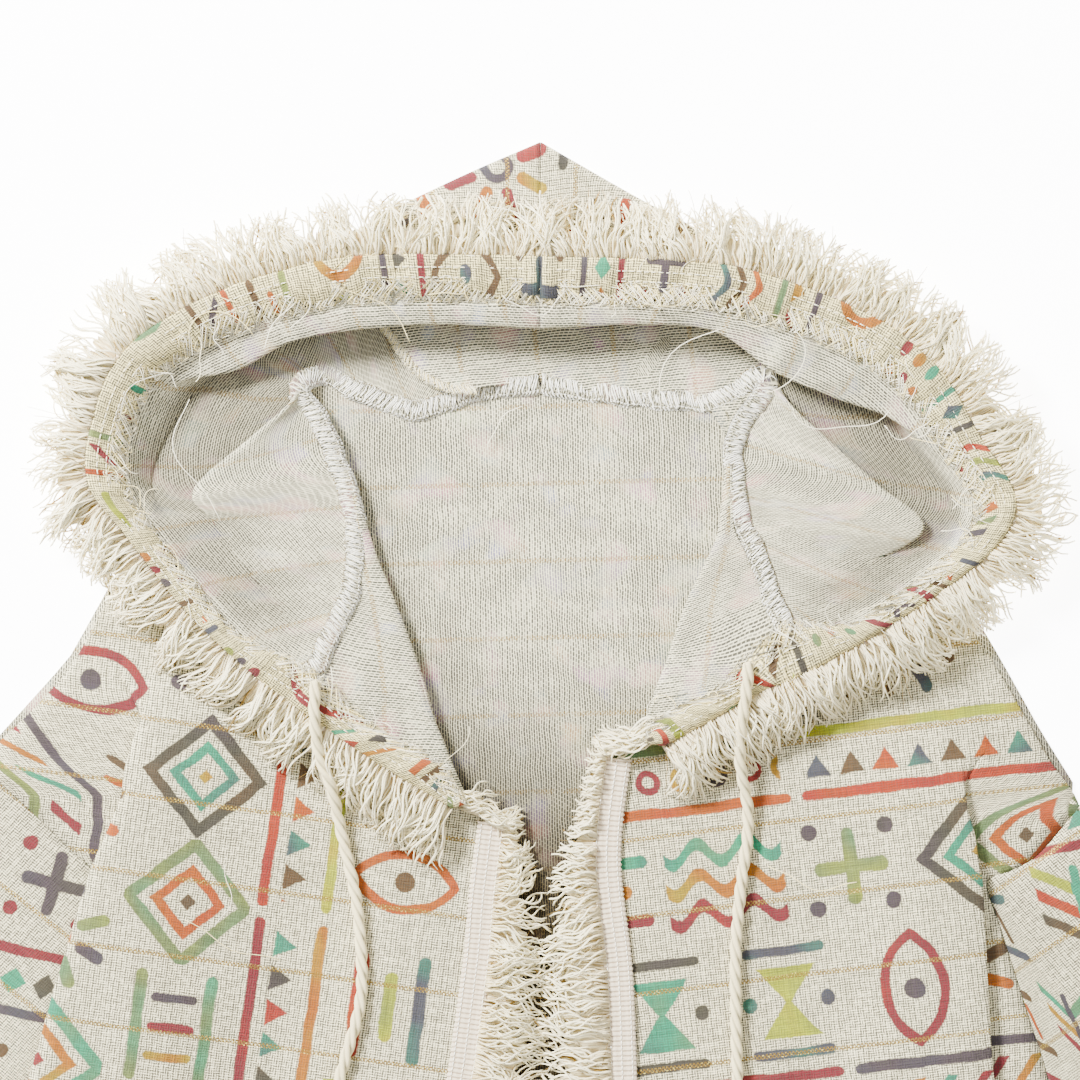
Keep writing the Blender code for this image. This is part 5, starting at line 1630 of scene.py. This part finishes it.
def makeFrontTrims():
    settings = frontTrim

    def drop(starts):
        return np.full(len(starts), settings["drop"])

    for side, word in sideNames.items():
        draw = random.Random(settings["seed"] + side)
        length = runLength(evenPath(settings[side], 400))[-1]
        count = int(length / settings["ribPitch"]) * settings["ribsPerRow"]
        path = evenPath(settings[side], count)
        run = np.linspace(0, length, count)
        edge = np.column_stack([path, frontHeight(path[:, 0], path[:, 1]) + settings["lift"]])
        out = planNormals(edge, side)
        share = np.linspace(0, 1, settings["across"])
        rib = np.abs(np.cos(math.pi * run / settings["ribPitch"]))[:, None]
        reach = share[None, :] * settings["width"] - settings["dent"] * rib * (1 - share[None, :]) ** 6
        points = edge[:, None] + out[:, None] * reach[..., None]
        points[..., 2] += settings["ribHeight"] * rib
        uv = turnedMap(run[:, None], reach, 0)
        tape = gridPiece("frontTape" + word, points, uv, [wovenTape], settings["wall"], flip=side > 0)
        settle(tape, "fringe")
        for line, across in enumerate(settings["stitches"]):
            name = "tapeStitches" + word + str(line)
            stitches = stitchLine(name, edge, out, across, settings["threadsUp"], whiteThread,
                                  **settings["stitch"])
            settle(stitches, "fringe")
        root = edge[::3] + out[::3] * (settings["width"] - settings["inside"])
        lead = np.array(settings["lead"][side], float)
        start = np.concatenate([np.column_stack([lead, np.full(len(lead), edge[0, 2] + 1.5)]), root])
        start[:, 2] += 0.5
        outward = np.concatenate([np.repeat(out[:1], len(lead), axis=0), out[::3]])
        tips = np.array(settings["tips"][side], float)
        room = np.maximum(np.abs(start[:, 0] - np.interp(start[:, 1], tips[:, 0], tips[:, 1])),
                          settings["leastRoom"])
        along = runLength(start)

        def lengthAt(starts):
            return np.minimum(np.interp(starts, along, room) * settings["slack"], settings["length"])

        yarns = fringePiece("frontFringe" + word, start, outward, settings, draw, lengthAt, drop,
                            plan["hem"] - settings["pastHem"])
        settle(yarns, "fringe", "front_trim_" + word.lower())
        roots = curtainPiece("frontCurtain" + word, start, outward, settings, draw, lengthAt, drop, side > 0)
        settle(roots, "fringe")


wovenTape = makeTape()
makeHoodFringe()
makeFrontTrims()
print("fringes made")


# Drawcords: a three-strand twisted cord from the casing to a knot on the front

cords = {
    "diameter": 5.5, "knot": 5.5, "rise": 24.0, "clear": 0.7, "wall": 1.6, "rings": 310, "around": 27,
    "twist": 25.0, "strand": 0.48, "shallow": 0.52, "points": 42, "knotSteps": 90, "knotStrand": 2.3,
    "drop": ((0, 14.6), (12, 14.6), (22, 13.0), (34, 9.8), (48, 6.2), (62, 1.6), (76, 0)),
    -1: ((-100.3, -61), (-101, -76), (-99, -94), (-93.7, -109), (-90.6, -124), (-86.7, -141), (-83.2, -157.5),
         (-81.4, -174), (-80.5, -194), (-82.3, -209), (-86.7, -224), (-91, -240), (-96, -262), (-99, -286),
         (-99, -310), (-96, -332), (-91, -352), (-87, -372)),
    1: ((89.3, -53), (88, -68), (85.8, -85), (85.8, -98.5), (88.9, -115), (89.3, -130), (87.1, -145.6),
        (84.9, -166.8), (84, -181.7), (84, -204.6), (84.9, -237.6), (87, -262), (91, -286), (94, -310),
        (93, -334), (89, -356)),
}


def cordRoute(side, count):
    route = evenPath(cords[side], count)
    total = runLength(route)[-1]
    run = np.linspace(0, total, count)
    drop = np.array(cords["drop"], float)
    fall = np.interp(run, drop[:, 0], drop[:, 1])
    end = np.maximum(0, 1 - (total - run) / cords["rise"]) * (cords["knot"] - cords["diameter"] / 2)
    z = frontHeight(route[:, 0], route[:, 1]) + cords["wall"] / 2 + cords["diameter"] / 2 + cords["clear"]
    return np.column_stack([route, z + fall + end])


def makeCords():
    for side, word in sideNames.items():
        coarse = cordRoute(side, cords["points"])
        path = evenPath(coarse, cords["rings"])
        run = runLength(path)
        forward = unit(np.gradient(path, axis=0))
        first = unit(np.cross(forward, [0.0, 0.0, 1.0]))
        second = np.cross(first, forward)
        turn = np.linspace(0, 2 * math.pi, cords["around"] + 1)
        spin = 2 * math.pi * run / cords["twist"]
        sector = 2 * math.pi / 3
        lobe = np.mod(turn[None, :] - spin[:, None], sector) - sector / 2
        strand, offset = cords["strand"], 1 - cords["strand"]
        inside = np.maximum(strand ** 2 - (offset * np.sin(lobe)) ** 2, 0)
        radius = cords["diameter"] / 2 * np.maximum(offset * np.cos(lobe) + np.sqrt(inside), cords["shallow"])
        radius[0] *= 0.02
        radius[-1] *= 0.02
        circle = first[:, None] * np.cos(turn)[None, :, None] + second[:, None] * np.sin(turn)[None, :, None]
        points = path[:, None] + circle * radius[..., None]
        uv = turnedMap(run[:, None], (turn * cords["diameter"] / 2)[None], 0)
        rope = gridPiece("drawcord" + word, points, uv, [cordCotton], closed=True)
        settle(rope, "cord", "drawcord_" + word.lower())
        knot = makeKnot(word, path)
        toFrame(path[0])
        toFrame(coarse).tolist()


def makeKnot(word, path):
    # an overhand knot: one strand over and under itself
    centre = path[-1] + unit(path[-1] - path[-2]) * (cords["knot"] + 0.3)
    t = np.linspace(0, 2 * math.pi, cords["knotSteps"])
    x, y, z = np.sin(t) + 2 * np.sin(2 * t), np.cos(t) - 2 * np.cos(2 * t), -np.sin(3 * t) * 1.1
    line = centre + np.stack([x, y, z], axis=1) * (cords["knot"] / 3.0) * 0.62
    radii = np.full((1, len(t)), cords["knotStrand"])
    knot = tubePiece("drawcordKnot" + word, line[None], radii, np.array([0.5]), [cordCotton], 14)
    return settle(knot, "cord", "drawcord_knot_" + word.lower())


cordCotton = makeCord()
makeCords()
print("drawcords made")


# Loose threads: sewing thread ends that stray from the overlock over hood, fringe and fronts

looseEnds = {
    "steps": 14, "radius": 0.24, "seed": 71,
    # plan x, y, height, heading in degrees, length, how much it turns on the way
    "placed": ((-154, 66, 27, 250, 62, 70), (-95, -52, 19, 300, 46, -110), (84, 95, 29, 200, 70, 80),
               (-126, 86, 28, 100, 40, 160), (-62, -98, 12, 330, 38, 120), (152, 60, 29, 230, 48, -90),
               (60, 103, 29, 190, 80, -60), (-20, 112, 28, 20, 46, 150), (10, 110, 28, 250, 34, -130),
               (-161, -165, 16.5, 320, 46, 30), (-146, -172, 16, 60, 30, 40), (140, -150, 16, 200, 42, -60),
               (102, -44, 22, 260, 40, 140), (-186, 52, 25, 90, 34, -100), (176, 20, 28, 300, 34, 90),
               (-104, 108, 28, 15, 52, -80), (40, 104, 29, 340, 44, 100), (108, 92, 29, 320, 36, -140),
               (-34, -118, 10, 200, 34, 90), (44, -92, 14, 100, 36, -90), (-8, 60, 6, 200, 26, 60)),
    # threads at random on each side: how many, the number of places along the hood's edge that they choose
    # from and those left out at each end, and the range of each thing that is drawn
    "random": 55, "places": 200, "ends": 8, "inward": (0.2, 1.15), "above": 5.2, "length": (8, 26),
    "turning": (-260, 260),
    # every thread's own waver
    "waver": (0.3, 1.0), "bends": (5, 11), "lift": 0.6, "sag": 1.5,
}


def makeLooseThreads():
    draw = random.Random(looseEnds["seed"])
    rows = list(looseEnds["placed"])
    for side in sideNames:
        edge, inward, _ = edgeFrames(side, looseEnds["places"])
        for _ in range(looseEnds["random"]):
            spot = draw.randrange(looseEnds["ends"], looseEnds["places"] - looseEnds["ends"])
            x, y, z = edge[spot] + inward[spot] * draw.uniform(*looseEnds["inward"])
            rows.append((x, y, z + looseEnds["above"], draw.uniform(0, 360),
                         draw.uniform(*looseEnds["length"]), draw.uniform(*looseEnds["turning"])))
    lines = []
    t = np.linspace(0, 1, looseEnds["steps"])
    for x, y, z, heading, length, turning in rows:
        waver = draw.uniform(*looseEnds["waver"])
        wobble = waver * np.sin(t * draw.uniform(*looseEnds["bends"]) + draw.uniform(0, 6))
        angle = np.radians(heading + turning * t) + 0.5 * wobble
        step = length / (len(t) - 1)
        forward, aside = (np.cumsum(walk) * step for walk in (np.cos(angle), np.sin(angle)))
        height = z + looseEnds["lift"] * np.sin(t * 9 + x) - looseEnds["sag"] * t
        lines.append(np.column_stack([x + forward, y + aside, height]))
    lines = np.stack(lines)
    tones = np.array([draw.uniform(0, 1) for _ in lines])
    radii = np.full(lines.shape[:2], looseEnds["radius"])
    settle(tubePiece("looseThreads", lines, radii, tones, [seamThread]), "cloth")


makeLooseThreads()
print("loose threads made")


# Floor and light

studio = {
    "floor": 6.0, "floorColour": (0.9, 0.9, 0.9, 1), "glow": 9.5, "world": 1.05, "aim": (0.0, 0.3, 0.0),
    "lights": (("key", (-1.6, 1.8, 1.8), 0.7, 400.0), ("fill", (0.7, 0.1, 3.0), 2.4, 24.0)),
}


def makeFloorFinish():
    made, inputs = startFinish("paleFloor", 0.0, 0.0, 1.0)
    grain = noise(node("TexCoord").outputs["Object"], 3.0)["Fac"]
    plug(inputs["Base Color"], shaded(studio["floorColour"], plus(0.97, times(grain, 0.06))))
    inputs["Emission Color"].default_value = (1, 1, 1, 1)
    inputs["Emission Strength"].default_value = studio["glow"]
    return made


def makeStudio():
    bpy.ops.object.select_all(action="DESELECT")
    bpy.ops.mesh.primitive_plane_add(size=studio["floor"])
    floor = bpy.context.object
    floor.name = "floor"
    floor.data.materials.append(makeFloorFinish())
    for name, place, width, power in studio["lights"]:
        light = bpy.data.lights.new(name, "AREA")
        light.size = width
        light.energy = power
        holder = bpy.data.objects.new(name, light)
        holder.location = place
        aim = Vector(studio["aim"]) - Vector(place)
        holder.rotation_euler = aim.to_track_quat("-Z", "Y").to_euler()
        bpy.context.scene.collection.objects.link(holder)
    world = bpy.data.worlds.new("studio")
    world.use_nodes = True
    world.node_tree.nodes["Background"].inputs["Color"].default_value = (1, 1, 1, 1)
    world.node_tree.nodes["Background"].inputs["Strength"].default_value = studio["world"]
    bpy.context.scene.world = world


makeStudio()
